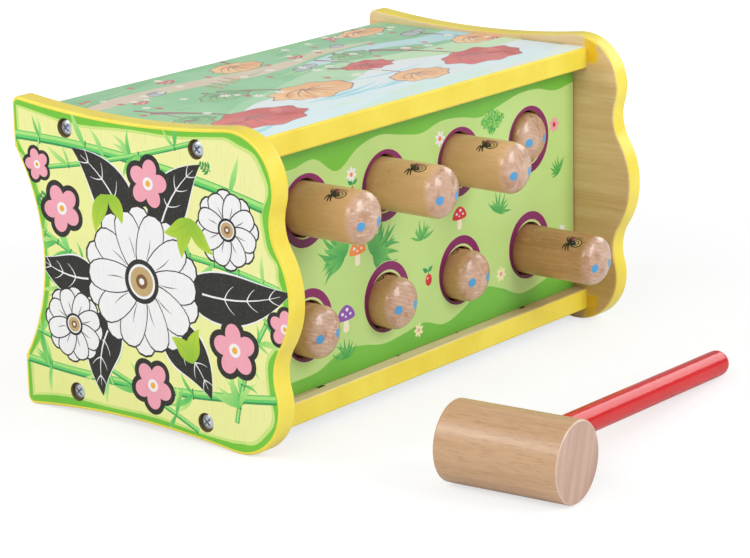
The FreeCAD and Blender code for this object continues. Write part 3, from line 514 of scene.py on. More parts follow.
def sheet(name, art, lay, material, slot, thickness=0.05, sunk=0.05, spacing=None, body="case"):
    """A closed thin sheet of the artwork; lay(u, v, out) gives the place of a point in millimetres."""
    flat, cut = art.triangles(spacing)
    used = sorted({index for face, _ in cut for index in face})
    order = {index: spot for spot, index in enumerate(used)}
    count = len(used)
    points = [Vector(lay(*flat[index], out)) * MM for out in (thickness, -sunk) for index in used]
    faces, inks, edges = [], [], {}
    here, along, up, above = (
        Vector(lay(*spot)) for spot in ((0, 0, 0), (0.1, 0, 0), (0, 0.1, 0), (0, 0, 0.1)))
    mirrored = (along - here).cross(up - here).dot(above - here) < 0
    for face, ink in cut:
        face = face[::-1] if mirrored else face
        corners = [order[index] for index in face]
        faces.append(corners)
        inks.append([art.colour(ink, flat[index]) for index in face])
        faces.append([corner + count for corner in reversed(corners)])
        inks.append(inks[-1][::-1])
        for edge in zip(corners, corners[1:] + corners[:1]):
            edges[edge] = ink
    for (start, end), ink in edges.items():
        if (end, start) not in edges:
            faces.append([end, start, start + count, end + count])
            inks.append([art.colour(ink, flat[used[spot]]) for spot in (end, start, start, end)])
    mesh = bpy.data.meshes.new(name)
    mesh.from_pydata(points, [], faces)
    layer = mesh.color_attributes.new("ink", "FLOAT_COLOR", "CORNER")
    layer.data.foreach_set("color", [level for face in inks for corner in face for level in corner])
    mesh.materials.append(material)
    mesh.update()
    piece = put(name, mesh)
    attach(piece, body)


# Display colours that several motifs share
LIME, CREAM = 0xC8E07C, 0xEAEAA0
BORDER, GRASS = 0x70C036, 0x74C042
STEM_DEEP, STEM, STEM_PALE = 0x28924E, 0x60C864, 0xA4DE78
BLADES = ((0x40B058, 0x8CD668), (0x68C864, 0xB8E484),
          (0x7ECE60, 0xCEE88C))
LEAF, LEAF_SHADE = 0xB2D038, 0x8CBA2C
CHARCOAL, WHITE = 0x22221E, 0xECEBEC
PINK, RED, ORANGE = 0xECA0B0, 0xD62C34, 0xF08C46
TAN, BROWN = 0xBEA270, 0x7A542E
PURPLE, PURPLE_SHADE = 0x862262, 0x5C1640
STRAW = 0xF0F0B4
EYE_BLUE = 0x54A0D6


# Outline of an end board, as points in Y and Z
def circle_between(first, first_radius, second, second_radius, radius):
    """Centre of the circle that touches two others from outside, to the left of both."""
    a, b = first_radius + radius, second_radius + radius
    line = second - first
    span = line.length
    run = (a * a - b * b + span * span) / (2 * span)
    unit = line / span
    return first + unit * run + Vector((-unit.y, unit.x)) * sqrt(a * a - run * run)


def arc(centre, radius, start, end, inset, steps):
    """Points on an arc from start to end the short way, its radius grown by the inset."""
    first = atan2(start.y - centre.y, start.x - centre.x)
    turn = atan2(end.y - centre.y, end.x - centre.x) - first
    turn = (turn + pi) % (2 * pi) - pi
    return [polar(centre, first + turn * step / steps, radius + inset) for step in range(steps + 1)]


def panel_outline(inset):
    """Closed outline of an end board, moved inwards by the inset."""
    def meet(first, radius, second):
        return first + (second - first).normalized() * radius
    foot = FOOT_Y - FRONT_Y
    lobe_at, corner_at = Vector((LOBE_Y, 0)), Vector((CORNER_Y, MIDDLE_Z - CORNER))
    toe_at = Vector((foot - TOE, MIDDLE_Z - TOE))
    valley_at = circle_between(lobe_at, LOBE, corner_at, CORNER, VALLEY)
    waist_at = circle_between(corner_at, CORNER, toe_at, TOE, WAIST)
    arch_radius = (ARCH_HALF ** 2 + ARCH_RISE ** 2) / (2 * ARCH_RISE)
    apex = Vector((foot - ARCH_RISE, 0))
    arch_at = apex + Vector((arch_radius, 0))
    first, second = meet(lobe_at, LOBE, valley_at), meet(corner_at, CORNER, valley_at)
    third, fourth = meet(corner_at, CORNER, waist_at), meet(toe_at, TOE, waist_at)
    half_line = arc(lobe_at, LOBE, lobe_at - Vector((LOBE, 0)), first, -inset, 14)
    half_line += arc(valley_at, VALLEY, first, second, inset, 10)[1:]
    half_line += arc(corner_at, CORNER, second, third, -inset, 18)[1:]
    half_line += arc(waist_at, WAIST, third, fourth, inset, 16)[1:]
    half_line += arc(toe_at, TOE, fourth, Vector((foot, toe_at.y)), -inset, 6)[1:]
    # Rounded edge between foot and arch
    half_line += [(foot - inset, 50.6), (foot - inset - 0.5, 49.6)]
    half_line += arc(arch_at, arch_radius, Vector((foot - 1.4, 45.4)), apex, inset, 14)
    upper = [(y + FRONT_Y, MIDDLE_Z + z) for y, z in half_line]
    lower = [(y, 2 * MIDDLE_Z - z) for y, z in upper[1:-1]]
    return upper + lower[::-1]


# Motifs of the end boards
def daisy(art, centre, size, petals, turn, outline):
    """Two rings of white, dark-edged petals round a dark and tan heart."""
    for layer, share in enumerate((1, 0.94)):
        reach = size * share
        for index in range(petals):
            angle = turn + 2 * pi * (index + 0.5 * layer) / petals
            shape = petal(centre, angle, size * 0.12, reach, size * 4.6 / petals)
            art.draw(grown(shape, polar(centre, angle, size * 0.58), 1 + 2.6 * outline / size), CHARCOAL)
            art.draw(shape, WHITE)
            fold = [polar(centre, angle, reach * part) for part in (0.34, 0.66)]
            art.line(bow(*fold, 0.05, 5), (0.15, outline * 0.6, 0.1), 0x464446)
    for share, ink in ((0.3, CHARCOAL), (0.235, WHITE), (0.2, TAN), (0.1, BROWN), (0.045, WHITE)):
        art.draw(disc(centre, size * share), ink)


def blossom(art, centre, size, turn):
    """Five round pink petals, boldly outlined, with a pale heart."""
    for edge, ink in ((size * 0.2, CHARCOAL), (0, PINK)):
        for angle in spokes(5, turn):
            spot = polar(centre, angle, size * 0.52)
            art.draw(oval(spot, size * 0.38 + edge, size * 0.33 + edge, angle, 24), ink)
    art.draw(disc(centre, size * 0.24, 18), WHITE)
    art.draw(disc(centre, size * 0.12, 14), 0xECAA3C)


def reed(art, start, end, width, bend, rng):
    """Jointed green stem, darker along one edge, with sprays of blades at its joints."""
    path = bow(start, end, bend, 16)
    for rise, share, ink in ((0, 1, STEM_DEEP), (0.1, 0.74, STEM), (0.2, 0.34, STEM_PALE)):
        line = [point + Vector((0, width * rise)) for point in path]
        art.line(line, (width * share, width * share * 0.9), ink)
    for index in range(2, 16, 3):
        here, ahead = path[index], (path[index + 1] - path[index - 1]).normalized()
        side = Vector((-ahead.y, ahead.x))
        art.line([here - side * width * 0.6, here + side * width * 0.6], 0.7, 0x1E8046)
        for _ in range(rng.choice((2, 3, 5))):
            reach = rng.uniform(8, 19)
            way = ahead * rng.uniform(-0.3, 1.2) + side * rng.choice((-1, 1)) * rng.uniform(0.4, 1)
            tip = here + way.normalized() * reach
            inks = rng.choice(BLADES)
            art.draw(leaf(here, tip, reach * 0.16, rng.uniform(-0.12, 0.12), 7), (*inks, here, tip))


def dark_leaf(art, base, tip, width, bend):
    """Broad charcoal leaf with a white edge, midrib and veins."""
    art.draw(leaf(base, tip, width + 1.6, bend, 14), WHITE)
    art.draw(leaf(base, tip, width, bend, 14), CHARCOAL)
    line = bow(base, tip, bend, 10)
    art.line(line[2:10], (0.9, 0.7, 0.15), WHITE)
    for index in (4, 6, 8):
        here, ahead = line[index], (line[index + 1] - line[index - 1]).normalized()
        side = Vector((-ahead.y, ahead.x))
        for flip in (-1, 1):
            end = here + ahead * width * 0.24 + side * flip * width * (0.4 - 0.03 * index)
            art.line(bow(here, end, 0.08 * flip, 4), (0.6, 0.15), WHITE)


def sprig(art, base, size, turn, ink):
    """Small fern: pairs of leaflets that get shorter towards its tip."""
    base = Vector(base)
    way = Vector((cos(turn), sin(turn)))
    side = Vector((-way.y, way.x))
    art.line([base, base + way * size], (0.5, 0.2), ink)
    for step in range(4):
        here = base + way * size * (0.2 + 0.22 * step)
        for flip in (-1, 1):
            tip = here + (way * 0.5 + side * flip) * size * (0.46 - 0.09 * step)
            art.draw(leaf(here, tip, size * 0.2, 0.1 * flip, 5), ink)


def end_print(seed):
    """Garden picture of an end board: reeds on cream, big white daisies, dark leaves, pink blossoms."""
    rng = random.Random(seed)
    art = Print(panel_outline(1.5), BORDER)
    edge = panel_outline(3.9)
    wavy = []
    for index, (y, z) in enumerate(edge):
        before, after = Vector(edge[index - 1]), Vector(edge[(index + 1) % len(edge)])
        side = (after - before).normalized()
        depth = 0.7 * sin(index * 0.37) + 0.5 * sin(index * 0.83 + 1.3)
        wavy.append((y + side.y * depth, z - side.x * depth))
    art.draw(wavy, LIME)
    art.draw(grown(wavy, (68, MIDDLE_Z), 0.98), (CREAM, 0xE6EA92, (0, 120), (140, 20)))
    for start, end, width, bend in (
            ((-4, 110), (142, 124), 4.6, 0.03), ((30, 134), (142, 108), 2.4, -0.02),
            ((-8, 28), (142, 22), 4.2, -0.03), ((36, 6), (142, 38), 2.4, 0.03),
            ((-12, 76), (60, 84), 3, 0.03), ((88, 66), (128, 84), 2.4, 0),
            ((14, 14), (-8, 66), 2.4, -0.06), ((86, 18), (122, 62), 2.2, 0.08)):
        reed(art, start, end, width, bend, rng)
    for base, size, turn in (((126, 92), 9, 2), ((131, 52), 8, 1.2), ((24, 122), 7, 0.4)):
        sprig(art, base, size, turn, 0x369646)
    for base, tip, width, bend in (
            ((72, 84), (104, 122), 22, 0.12), ((56, 86), (30, 124), 20, -0.1),
            ((58, 50), (28, 22), 21, -0.12), ((80, 52), (92, 12), 20, 0.14),
            ((90, 66), (128, 70), 19, -0.1), ((44, 70), (-18, 76), 22, 0.08)):
        dark_leaf(art, base, tip, width, bend)
    daisy(art, (66, 68), 33, 10, 0.3, 0.9)
    daisy(art, (16, 98), 17, 8, 0.7, 0.8)
    daisy(art, (108, 42), 17, 8, 0.1, 0.8)
    for centre, size, turn in (((14, 46), 13, 0.2), ((112, 94), 12, 1.1), ((60, 112), 12, 0.5),
                               ((62, 22), 12, 0.9), ((-14, 60), 9, 0.4), ((126, 112), 8, 0)):
        blossom(art, centre, size, turn)
    for base, tip, width, bend in (
            ((36, 100), (42, 82), 8, 0.1), ((36, 100), (52, 92), 8, -0.1), ((36, 100), (24, 86), 7, 0.1),
            ((84, 104), (92, 86), 8, 0.1), ((84, 104), (76, 92), 7, -0.1), ((38, 36), (50, 46), 8, 0.1),
            ((38, 36), (34, 52), 8, -0.1)):
        art.draw(leaf(base, tip, width, bend, 8), (LEAF_SHADE, LEAF, base, tip))
        art.line(bow(base, tip, bend, 8)[1:8], (0.5, 0.15), LEAF_SHADE)
    for y in SCREW_Y:
        for side in (-1, 1):
            art.draw(disc((y, MIDDLE_Z + side * SCREW_RISE), SCREW_BORE_IN_PRINT, 40), None)
    return art


# Motifs of the mole board and the side boards
def small_flower(art, centre, size, turn, outer, heart):
    for angle in spokes(7, turn):
        art.draw(oval(polar(centre, angle, size * 0.6), size * 0.4, size * 0.24, angle, 12), outer)
    art.draw(disc(centre, size * 0.3, 14), heart)


def tuft(art, centre, size, turn, blades, rng):
    """Fan of grass blades, the back row longer and darker."""
    for row, tone, width in ((1, 0x58B258, 0.15), (0.72, 0x74C662, 0.13)):
        for index in range(blades):
            angle = turn + (index / (blades - 1) - 0.5) * 2.5 + rng.uniform(-0.06, 0.06)
            reach = size * row * rng.uniform(0.8, 1.12)
            start = (centre[0] + rng.uniform(-0.3, 0.3), centre[1] + rng.uniform(-0.3, 0.3))
            tip = polar(start, angle, reach)
            blade = leaf(start, tip, size * width, rng.uniform(-0.14, 0.14), 7)
            art.draw(blade, (0x3C9C4A, tone, start, tip))


def berries(art, centre, size, turn):
    """One red berry with a glint, under two leaves."""
    x, y = centre
    top = polar(centre, turn, size * 1.1)
    for side, ink in ((-1, 0x2C9654), (1, 0x3CA65C)):
        tip = (top[0] + side * size * 0.9, top[1] + size * 0.5)
        art.draw(leaf(top, tip, size * 0.55, -0.1 * side, 7), ink)
    art.line(bow(top, centre, 0.1, 4), (0.35, 0.3), 0x2C8246)
    art.draw(oval(centre, size * 0.6, size * 0.7), (0xBA1C2C, 0xE84246, (x, y - size), (x, y + size)))
    art.draw(oval((x - size * 0.2, y + size * 0.22), size * 0.16, size * 0.1, 0.6, 10), 0xFAD6D0)


def toadstool(art, centre, size, cap):
    """Spotted toadstool; its stem and its cap are given as shares of its size."""
    x, y = centre
    for points, ink in (
            (((-0.22, -0.7), (-0.16, 0), (0.16, 0), (0.22, -0.7)), 0xF4E8CC),
            (((-0.75, 0), (-0.55, 0.5), (0, 0.78), (0.55, 0.5), (0.75, 0), (0, -0.12)), cap)):
        art.draw(smooth([(x + size * across, y + size * up) for across, up in points]), ink)
    for across, up, radius in ((-0.3, 0.3, 0.12), (0.1, 0.5, 0.13), (0.38, 0.22, 0.1), (-0.02, 0.12, 0.08)):
        spot = (x + size * across, y + size * up)
        art.draw(oval(spot, size * radius, size * radius * 0.8, count=12), WHITE)


def bush(art, centre, size, rng):
    """Dense fan of tiny leaves."""
    tones = (0x54B050, 0x96D058, 0x3E9C4C, 0x68BE54)
    fan = [polar(centre, 0.75 + step * 0.165, size * 0.9) for step in range(11)]
    art.draw([centre] + fan, 0x92CC62)
    for _ in range(int(size * 22)):
        turn, reach = rng.uniform(0.65, 2.5), size * sqrt(rng.uniform(0.01, 1))
        shape = oval(polar(centre, turn, reach), size * 0.065, size * 0.036, rng.uniform(0, 3), 6)
        art.draw(shape, rng.choice(tones))


def mole_print():
    """Meadow of the mole board: two wavy green borders, a purple ring round each hole, small plants."""
    rng = random.Random(11)
    low, high, end = 16.05, 125.15, 120
    art = Print([(-end, low), (end, low), (end, high), (-end, high)],
                (0xBADC86, 0xC0E088, (-end, low), (end, low)))
    for edge, inwards, depths in (
            (high, -1, (5, 8, 9, 7.4, 15.5, 8, 5.2, 7.8, 10, 7.2, 8.2, 10.8, 8, 5.2, 5.4, 8.6, 7)),
            (low, 1, (8, 7, 6.2, 7, 11.8, 11, 8, 9, 10.6, 6.4, 10, 16.6, 13, 7, 8, 12, 18))):
        step = 2 * end / (len(depths) - 1)
        points = [(step * index - end, edge + inwards * depth) for index, depth in enumerate(depths)]
        corners = [(end + 9, points[-1][1]), (end + 9, edge - inwards * 20),
                   (-end - 9, edge - inwards * 20), (-end - 9, points[0][1])]
        art.draw(smooth(points + corners, 8), (0x68B23A, GRASS, (0, edge), (0, edge + 9 * inwards)))
    for x, z, size, turn in ((-56, 70, 18, 2.5), (-36, 66, 18, 0.6), (58, 66, 10, 1.2), (-56, 24, 10, 1.9),
                             (108, 76, 8, 2.2), (-108, 70, 9, 1), (0, 66, 9, 1.6)):
        tuft(art, (x, z), size, turn, 15 if size > 12 else 8, rng)
    for x, z, size in ((54, 104, 12), (-108, 18, 10), (106, 22, 9)):
        bush(art, (x, z), size, rng)
    for x, z, size, outer, heart in (
            (-50, 106, 3.6, WHITE, ORANGE), (14, 110, 3.8, WHITE, ORANGE), (104, 100, 4, PINK, RED),
            (60, 36, 3.8, STRAW, PINK), (-104, 108, 3.4, WHITE, ORANGE),
            (-4, 24, 3.4, STRAW, PINK), (110, 46, 3.6, WHITE, ORANGE)):
        small_flower(art, (x, z), size, x * 0.13, outer, heart)
    for x, z, size, turn in ((4, 46, 4, 1.7), (-50, 98, 3.6, 1.4), (56, 84, 3.4, 1.6)):
        berries(art, (x, z), size, turn)
    for x, z, size, cap in ((-56, 42, 8, 0x8C54B0), (-47, 70, 7.5, ORANGE), (28, 70, 7, RED),
                            (-110, 96, 5, ORANGE)):
        toadstool(art, (x, z), size, cap)
    for z, middle in zip(ROWS, RING_ROWS):
        for x in COLUMNS:
            ring = (x + RING_SHIFT, middle)
            art.draw(disc(ring, RING_RIM, 64), 0xCCDE96)
            art.draw(disc(ring, RING, 64), (PURPLE_SHADE, PURPLE, (x - 15, middle - 8), (x, middle + 6)))
            art.draw(disc(ring, RING_HEART, 64), 0xCEE096)
            art.draw(disc((x, z), HOLE_RADIUS, 64), None)
    return art


def crown(art, centre, across, up, pale, deep, root, rng):
    """Round autumn tree: a scalloped, thinly outlined crown, a trunk and branches."""
    x, y = centre
    outline = 0x92686A
    rim = []
    for index, angle in enumerate(spokes(18)):
        reach = (1, 0.88)[index % 2] * rng.uniform(0.94, 1.06)
        rim.append(polar(centre, angle, across * reach, up * reach))
    rim = smooth(rim, 5)
    art.line(bow(root, centre, 0.08, 8), (up * 0.3, up * 0.14, up * 0.08), 0x925460)
    art.draw(grown(rim, centre, 1 + 0.6 / up), outline)
    art.draw(rim, (deep, pale, (x - across, y - up), (x + across * 0.6, y + up)))
    for _ in range(7):
        spot = (x + rng.uniform(-0.6, 0.6) * across, y + rng.uniform(-0.55, 0.55) * up)
        art.draw(oval(spot, across * 0.22, up * 0.16, rng.uniform(0, 3), 14), rng.choice((pale, deep)))
    for index in range(7):
        start = (x + 0.23 * (index - 3), y - up * (0.42 - 0.03 * index))
        tip = polar(centre, 0.3 + index * 0.42, across * 0.8, up * 0.8)
        art.line(bow(start, tip, 0.06 * (index - 3), 6), (0.9, 0.3), outline)


def landscape(seed):
    """Autumn park along a side board: sky at its mole edge, a meadow with a path and trees behind."""
    rng = random.Random(seed)
    near, far, end = FRONT_Y + 1, BACK_Y - 1, 120.7
    art = Print([(-end, near), (end, near), (end, far), (-end, far)], 0x588C60)
    art.draw([(0.8 - end, near + 0.8), (end - 0.8, near + 0.8), (end - 0.8, far), (0.8 - end, far)],
             (WHITE, 0xD8F4F8, (0, 60), (0, far)))
    for points, *inks in (
            (((-150, 118), (-90, 124), (-30, 116), (30, 124), (60, 140), (-150, 150)),
             0xE8F8F4, 0xCEF0EE),
            (((-150, 80), (-90, 94), (-40, 76), (10, 90), (60, 84), (100, 100), (150, 112), (150, -20),
              (-150, -20)), 0xD0ECBE, 0xA0D6A8),
            (((-150, 62), (-80, 70), (-20, 58), (40, 72), (84, 86), (150, 132), (150, -20), (-150, -20)),
             0x80C296, 0x8CCC96),
            (((150, 36), (100, 37), (60, 38), (10, 46), (-40, 38), (-78, 37), (-40, 30), (0, 34), (60, 26),
              (110, 24), (150, 22)), 0xDCC4B2, 0xD4CCAA),
            (((-150, 60), (-100, 66), (-60, 50), (-20, 54), (-16, 46), (-60, 40), (-100, 50), (-150, 46)),
             0xA0D4DC, 0xC4E4E6),
            (((150, 30), (90, 24), (40, 12), (-30, 18), (-90, 10), (-150, 16), (-150, -20), (150, -20)),
             0x74B884, 0x8CCC92)):
        art.draw(smooth(points, 8), (*inks, points[0], points[len(points) // 2]))
    for _ in range(24):
        x, y = rng.uniform(-end, end), rng.uniform(88, far)
        streak = bow((x, y), (x + rng.uniform(30, 70), y + rng.uniform(-4, 6)), 0.05, 6)
        art.line(streak, (0.3, rng.uniform(1.5, 4), 0.3),
                 rng.choice((WHITE, 0xA0DEEA, 0xD6F0D6)))
    for _ in range(26):
        x, y = rng.uniform(-end, end), rng.uniform(near, 84)
        streak = bow((x, y), (x + rng.uniform(10, 34), y + rng.uniform(-3, 5)), 0.06, 5)
        art.line(streak, (0.2, 1.2, 0.2), rng.choice((0xBEE196, 0x60AC78, 0xAADAA0)))
    red, orange = (0xE26864, 0xC43C42), (0xFAC88E, 0xEEA86C)
    green = (0x8CCE8C, 0x5CA670)
    for x, y, across, up, inks, root in (
            (86, 106, 27, 16, red, (106, 60)), (30, 88, 25, 14, orange, (56, 54)),
            (-26, 106, 18, 11, orange, (-12, 62)), (-78, 102, 25, 15, red, (-58, 50)),
            (60, 62, 14, 8, green, (62, 50)), (-112, 74, 15, 10, orange, (-104, 40)),
            (-44, 50, 13, 8, green, (-42, 40)), (108, 86, 12, 8, green, (106, 50)),
            (-30, 72, 15, 9, red, (-24, 44)), (8, 24, 16, 9, orange, (2, 8)),
            (-92, 18, 16, 8, orange, (-96, 8))):
        crown(art, (x, y), across, up, *inks, root, rng)
    # Stones, a fence and toadstools
    for x, y, size in ((-6, 52, 5), (-14, 50, 4), (-104, 40, 6), (-112, 38, 4), (74, 34, 5), (-58, 30, 4)):
        art.draw(oval((x, y), size * 1.25, size * 0.8, 0.2, 16), 0x686470)
        art.draw(oval((x, y), size * 1.1, size * 0.66, 0.2, 16),
                 (0x8E98A2, 0xC4CCD0, (x, y - size), (x, y + size)))
    for x, y in ((30, 40), (36, 42), (42, 43), (48, 45), (-70, 62), (-76, 63)):
        art.line([(x, y - 5), (x, y + 6)], 1.3, 0xAA825C)
        art.line([(x - 4, y + 2), (x + 4, y + 3)], 1, 0xC8A87A)
    for x, y, size in ((-26, 30, 6), (92, 40, 6), (52, 18, 7), (-72, 14, 6), (-116, 80, 5)):
        toadstool(art, (x, y), size, 0xCC4C50)
    for _ in range(34):
        spot = (rng.uniform(-114, 114), rng.uniform(near + 4, 84))
        small_flower(art, spot, rng.uniform(1.8, 3), rng.uniform(0, 1), WHITE, 0xF0D66E)
    for _ in range(20):
        x, y = rng.uniform(-112, 112), rng.uniform(near + 5, 80)
        art.draw(leaf((x, y), (x + rng.uniform(-1, 1), y + 4.5), 3.2, 0, 5), 0xCE4A4C)
        art.line([(x, y + 1), (x, y - 3)], (0.4, 0.3), 0x54965A)
    return art


# Marks on a peg: how far their sheets stand out and are sunk in, and the spacing of their points
MARK_FIT = (0.04, 0.06, 0.7)


def crown_marks(name, x, z, tip, body):
    """Two blue eye dots that lie on the crown, lower on a peg that stands out."""
    art = Print(disc((0, 0), 8.9, 40), None)
    for side in (-1, 1):
        art.draw(disc((side * 6, -2 if tip < OUT_TIP_Y else -1), 2.05, 30), EYE_BLUE)
    def lay(u, v, out):
        radius = CROWN_RADIUS + out
        return x + u, tip + CROWN_RADIUS - sqrt(radius * radius - u * u - v * v), z + v
    sheet(name, art, lay, MARK_INK, "peg_wood", *MARK_FIT, body)


def face_marks(name, x, z, tip, turn, setback, body):
    """Nose, whiskers and mouth lines round the side of a peg, at an angle from its top and behind its tip."""
    art = Print([(-7, -8), (7, -8), (7, 8), (-7, 8)], None)
    for middle, across, along, line in ((-2.2, 2.5, 3.4, 0.5), (-1.7, 1.5, 2.3, 0.42)):
        art.draw(oval((-0.4, middle), across, along, count=34), CHARCOAL)
        art.draw(oval((-0.4, middle), across - line, along - line * 1.15, count=30), 0xCCAA70)
    art.draw(oval((-2.5, 0.9), 1, 2, 0.1, 22), 0xA85468)
    art.draw(oval((0, 0), 1.45, 2.5, 0.06, 26), CHARCOAL)
    art.draw(oval((-0.35, -0.7), 0.22, 0.4, 0, 10), 0x968C82)
    for side in (-1, 1):
        for start, end in (((0.7, 2.6), (3.6, 3.8)), ((0.9, 1.9), (4.3, 1.9)), ((1, 1.1), (4, 0.2))):
            whisker = bow((side * start[0], start[1]), (side * end[0], end[1]), 0.08 * side, 6)
            art.line(whisker, (0.95, 0.8, 0.4), CHARCOAL)
    art.line(bow((-3.5, -4.8), (-3.3, 2.2), 0.05, 8), (0.25, 0.6, 0.25), CHARCOAL)
    def lay(u, v, out):
        angle = radians(turn) + u / PEG_RADIUS
        radius = PEG_RADIUS + out
        return x - radius * sin(angle), tip + setback + v, z + radius * cos(angle)
    sheet(name, art, lay, MARK_INK, "peg_wood", *MARK_FIT, body)


# Finishes of the frame's own nodes
def dress(name, finish):
    for slot in NODES[name].material_slots:
        slot.material = finish


for names, finish in (
        ("left_end_panel right_end_panel", panel_material()),
        ("upper_side_board lower_side_board", board_material()),
        ("mole_board guide_board base_board", plain_wood("pine_ply", "X", 0xE0C494, 0xC4A06E, 0.08)),
        ("rocker", plain_wood("rocker_beech", "Z", 0xDAB686, 0xB48A5C)),
        ("axle_spacer", plain_wood("spacer_beech", "X", 0xDCBC8C, 0xB89262)),
        ("left_panel_screws right_panel_screws", screw_zinc()),
        ("axle_rod upper_peg_pin lower_peg_pin", drawn_steel()),
        ("mallet_head", mallet_wood()), ("mallet_handle", lacquer())):
    for name in NODES:
        if name.rstrip("0123456789_") in names.split():
            dress(name, finish)

# For each peg: its side wood, light and dark; how strong its end grain's patches, arcs, dots and flecks are;
# the angle of its nose from straight up, in degrees, and the nose's distance from the tip
PLAIN_PEG = (0xE6BC8A, 0xCEA06E)
BROWN_PEG = (0xDEAE7A, 0xA07044)
PEGS = {
    "upper": ((PLAIN_PEG, 0.1, 0.1, 0, 0.9, 29.9, 14.8), (PLAIN_PEG, 0.8, 0.1, 0.1, 0.2, 27, 15),
              (PLAIN_PEG, 0.3, 0, 0.9, 0.2, 28.8, 16.3), (BROWN_PEG, 1, 0.12, 0.1, 0.3, 26, 15)),
    "lower": ((PLAIN_PEG, 0.5, 0.2, 0, 0.6, 21, 16.6), (PLAIN_PEG, 0.3, 0.24, 0, 0.3, 18.5, 17.2),
              (PLAIN_PEG, 0.3, 0.1, 0.2, 0.6, 18.5, 16.8), (BROWN_PEG, 0.4, 0.2, 0.3, 0.3, 40.6, 13.1)),
}

# Prints
PANEL_INK = ink_material("panel_print", (1, 1, 0.05), 0.16)
BOARD_INK = ink_material("board_print", (0.05, 1, 1), 0.08, 0.12)
MOLE_INK = ink_material("mole_board_print", (0.05, 1, 1), 0.04)
MARK_INK = ink_material("peg_marks", (1, 0.05, 1), 0.1)

left_art = end_print(5)
for name, art, ink, slot, lay in (
        ("left_panel_print", left_art, PANEL_INK, "painted_panel",
         lambda u, v, out: (-CASE_X - out, u, v)),
        ("right_panel_print", left_art, PANEL_INK, "painted_panel",
         lambda u, v, out: (CASE_X + out, u, 2 * MIDDLE_Z - v)),
        ("mole_board_print", mole_print(), MOLE_INK, "printed_board",
         lambda u, v, out: (u, MOLE_BOARD_Y - out, v)),
        ("upper_board_print", landscape(3), BOARD_INK, "painted_board",
         lambda u, v, out: (-u, BOARD_SPAN - v, MIDDLE_Z + SIDE_BOARD_REACH + out)),
        ("lower_board_print", landscape(8), BOARD_INK, "painted_board",
         lambda u, v, out: (u, BOARD_SPAN - v, MIDDLE_Z - SIDE_BOARD_REACH - out))):
    sheet(name, art, lay, ink, slot)

for (level, pegs), z in zip(PEGS.items(), ROWS):
    for number, (x, (wood, *marks, turn, setback)) in enumerate(zip(COLUMNS, pegs), 1):
        peg, body = f"{level}_peg_{number}", f"{level}_mole_{number}"
        dress(peg, peg_material(peg + "_beech", *wood, *marks))
        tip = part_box(peg)[0].y / MM
        crown_marks(peg + "_eyes", x, z, tip, body)
        face_marks(peg + "_face", x, z, tip, turn, setback, body)


# Floor, light and camera
def for_camera(graph, low, high):
    """A level that is high for what the camera sees, and low for all other rays."""
    path = graph.add("LightPath").outputs
    seen = graph.calc("MAXIMUM", path["Is Camera Ray"], path["Is Transmission Ray"])
    return graph.add("MapRange", {"Value": seen, "To Min": low, "To Max": high}).outputs["Result"]


def floor_material():
    """Pale floor that the camera sees as white, with the toy's shadow near the toy."""
    material = bpy.data.materials.new("pale_floor")
    graph = Graph(material)
    plain = graph.add("BsdfDiffuse", {"Color": (0.8, 0.8, 0.8, 1)})
    glow = graph.add("Emission", {"Color": (1, 1, 1, 1), "Strength": 1.22})
    where = graph.add("TexCoord").outputs["Object"]
    away = graph.add("VectorMath", {0: where}, operation="LENGTH").outputs["Value"]
    share = graph.times(for_camera(graph, 0, 1), graph.ease(away, 0.32, 0.62, 0.55, 1))
    both = graph.add("MixShader", {0: share, 1: plain.outputs[0], 2: glow.outputs[0]})
    graph.add("OutputMaterial", {"Surface": both.outputs[0]})
    return material


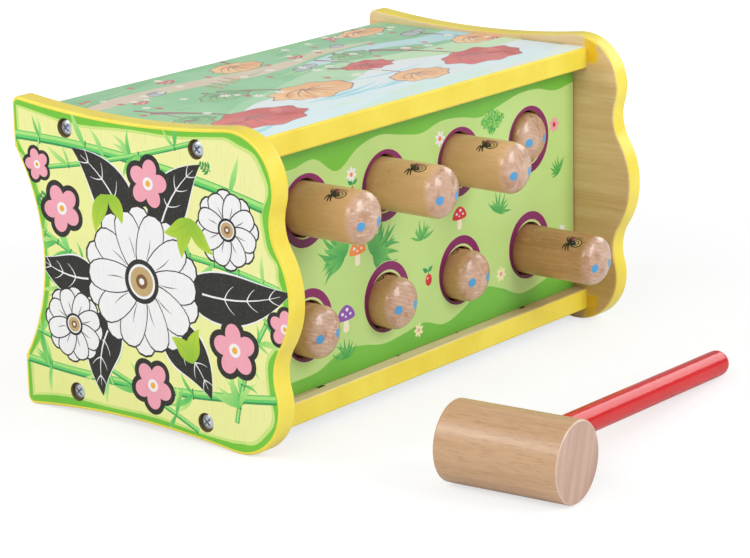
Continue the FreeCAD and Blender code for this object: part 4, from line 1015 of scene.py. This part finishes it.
FLOOR_HALF = 9
FLOOR_DROP = 0.0001
floor_mesh = bpy.data.meshes.new("floor")
floor_mesh.from_pydata([(x * FLOOR_HALF, y * FLOOR_HALF, -FLOOR_DROP)
                        for x, y in ((-1, -1), (1, -1), (1, 1), (-1, 1))], [], [(0, 1, 2, 3)])
floor_mesh.materials.append(floor_material())
floor = put("floor", floor_mesh)

world = bpy.data.worlds.new("studio")
SCENE.world = world
sky = Graph(world)
soft = sky.add("Background", {"Color": (1, 1, 1, 1), "Strength": for_camera(sky, 0.42, 1)})
sky.add("OutputWorld", {"Surface": soft.outputs[0]})


def direction(azimuth, elevation):
    """Way out from the toy; azimuth 0 is in front of the moles."""
    azimuth, elevation = radians(azimuth), radians(elevation)
    return Vector((sin(azimuth) * cos(elevation), -cos(azimuth) * cos(elevation),
                   sin(elevation)))


# Lamps: azimuth and elevation in degrees, distance, width and height in metres, power in watts
AIM = Vector((0, 0, 0.07))
for name, azimuth, elevation, distance, width, height, power in (
        ("left_box", -77, 34, 1.5, 0.9, 0.6, 6.5), ("front_box", 12, 28, 1.4, 0.6, 0.9, 9),
        ("side_box", 80, 24, 1.4, 1, 0.6, 5), ("rear_box", -129, 35, 1.4, 0.8, 0.6, 6)):
    lamp = bpy.data.lights.new(name, "AREA")
    lamp.shape = "RECTANGLE"
    lamp.size, lamp.size_y = width, height
    lamp.energy = power
    box = put(name, lamp)
    away = direction(azimuth, elevation)
    box.location = AIM + away * distance
    box.rotation_euler = (-away).to_track_quat("-Z", "Y").to_euler()

# Camera, fitted to the photograph
FOCAL_PIXELS, PHOTO_WIDTH = 2834.4, 750
CAMERA_PLACE = (-0.98257, -0.74609, 0.39117)
back = direction(-51.254, 15.452)
roll = radians(-1.223)
camera = bpy.data.cameras.new("camera")
camera.sensor_width = 36
camera.lens = camera.sensor_width * FOCAL_PIXELS / PHOTO_WIDTH
right = Vector((0, 0, 1)).cross(back).normalized()
up = back.cross(right)
tilted_right = right * cos(roll) + up * sin(roll)
tilted_up = up * cos(roll) - right * sin(roll)
view = put("camera", camera)
view.matrix_world = Matrix.Translation(CAMERA_PLACE) @ Matrix(
    (tilted_right, tilted_up, back)).transposed().to_4x4()
SCENE.camera = view
SCENE.view_settings.view_transform = "Standard"
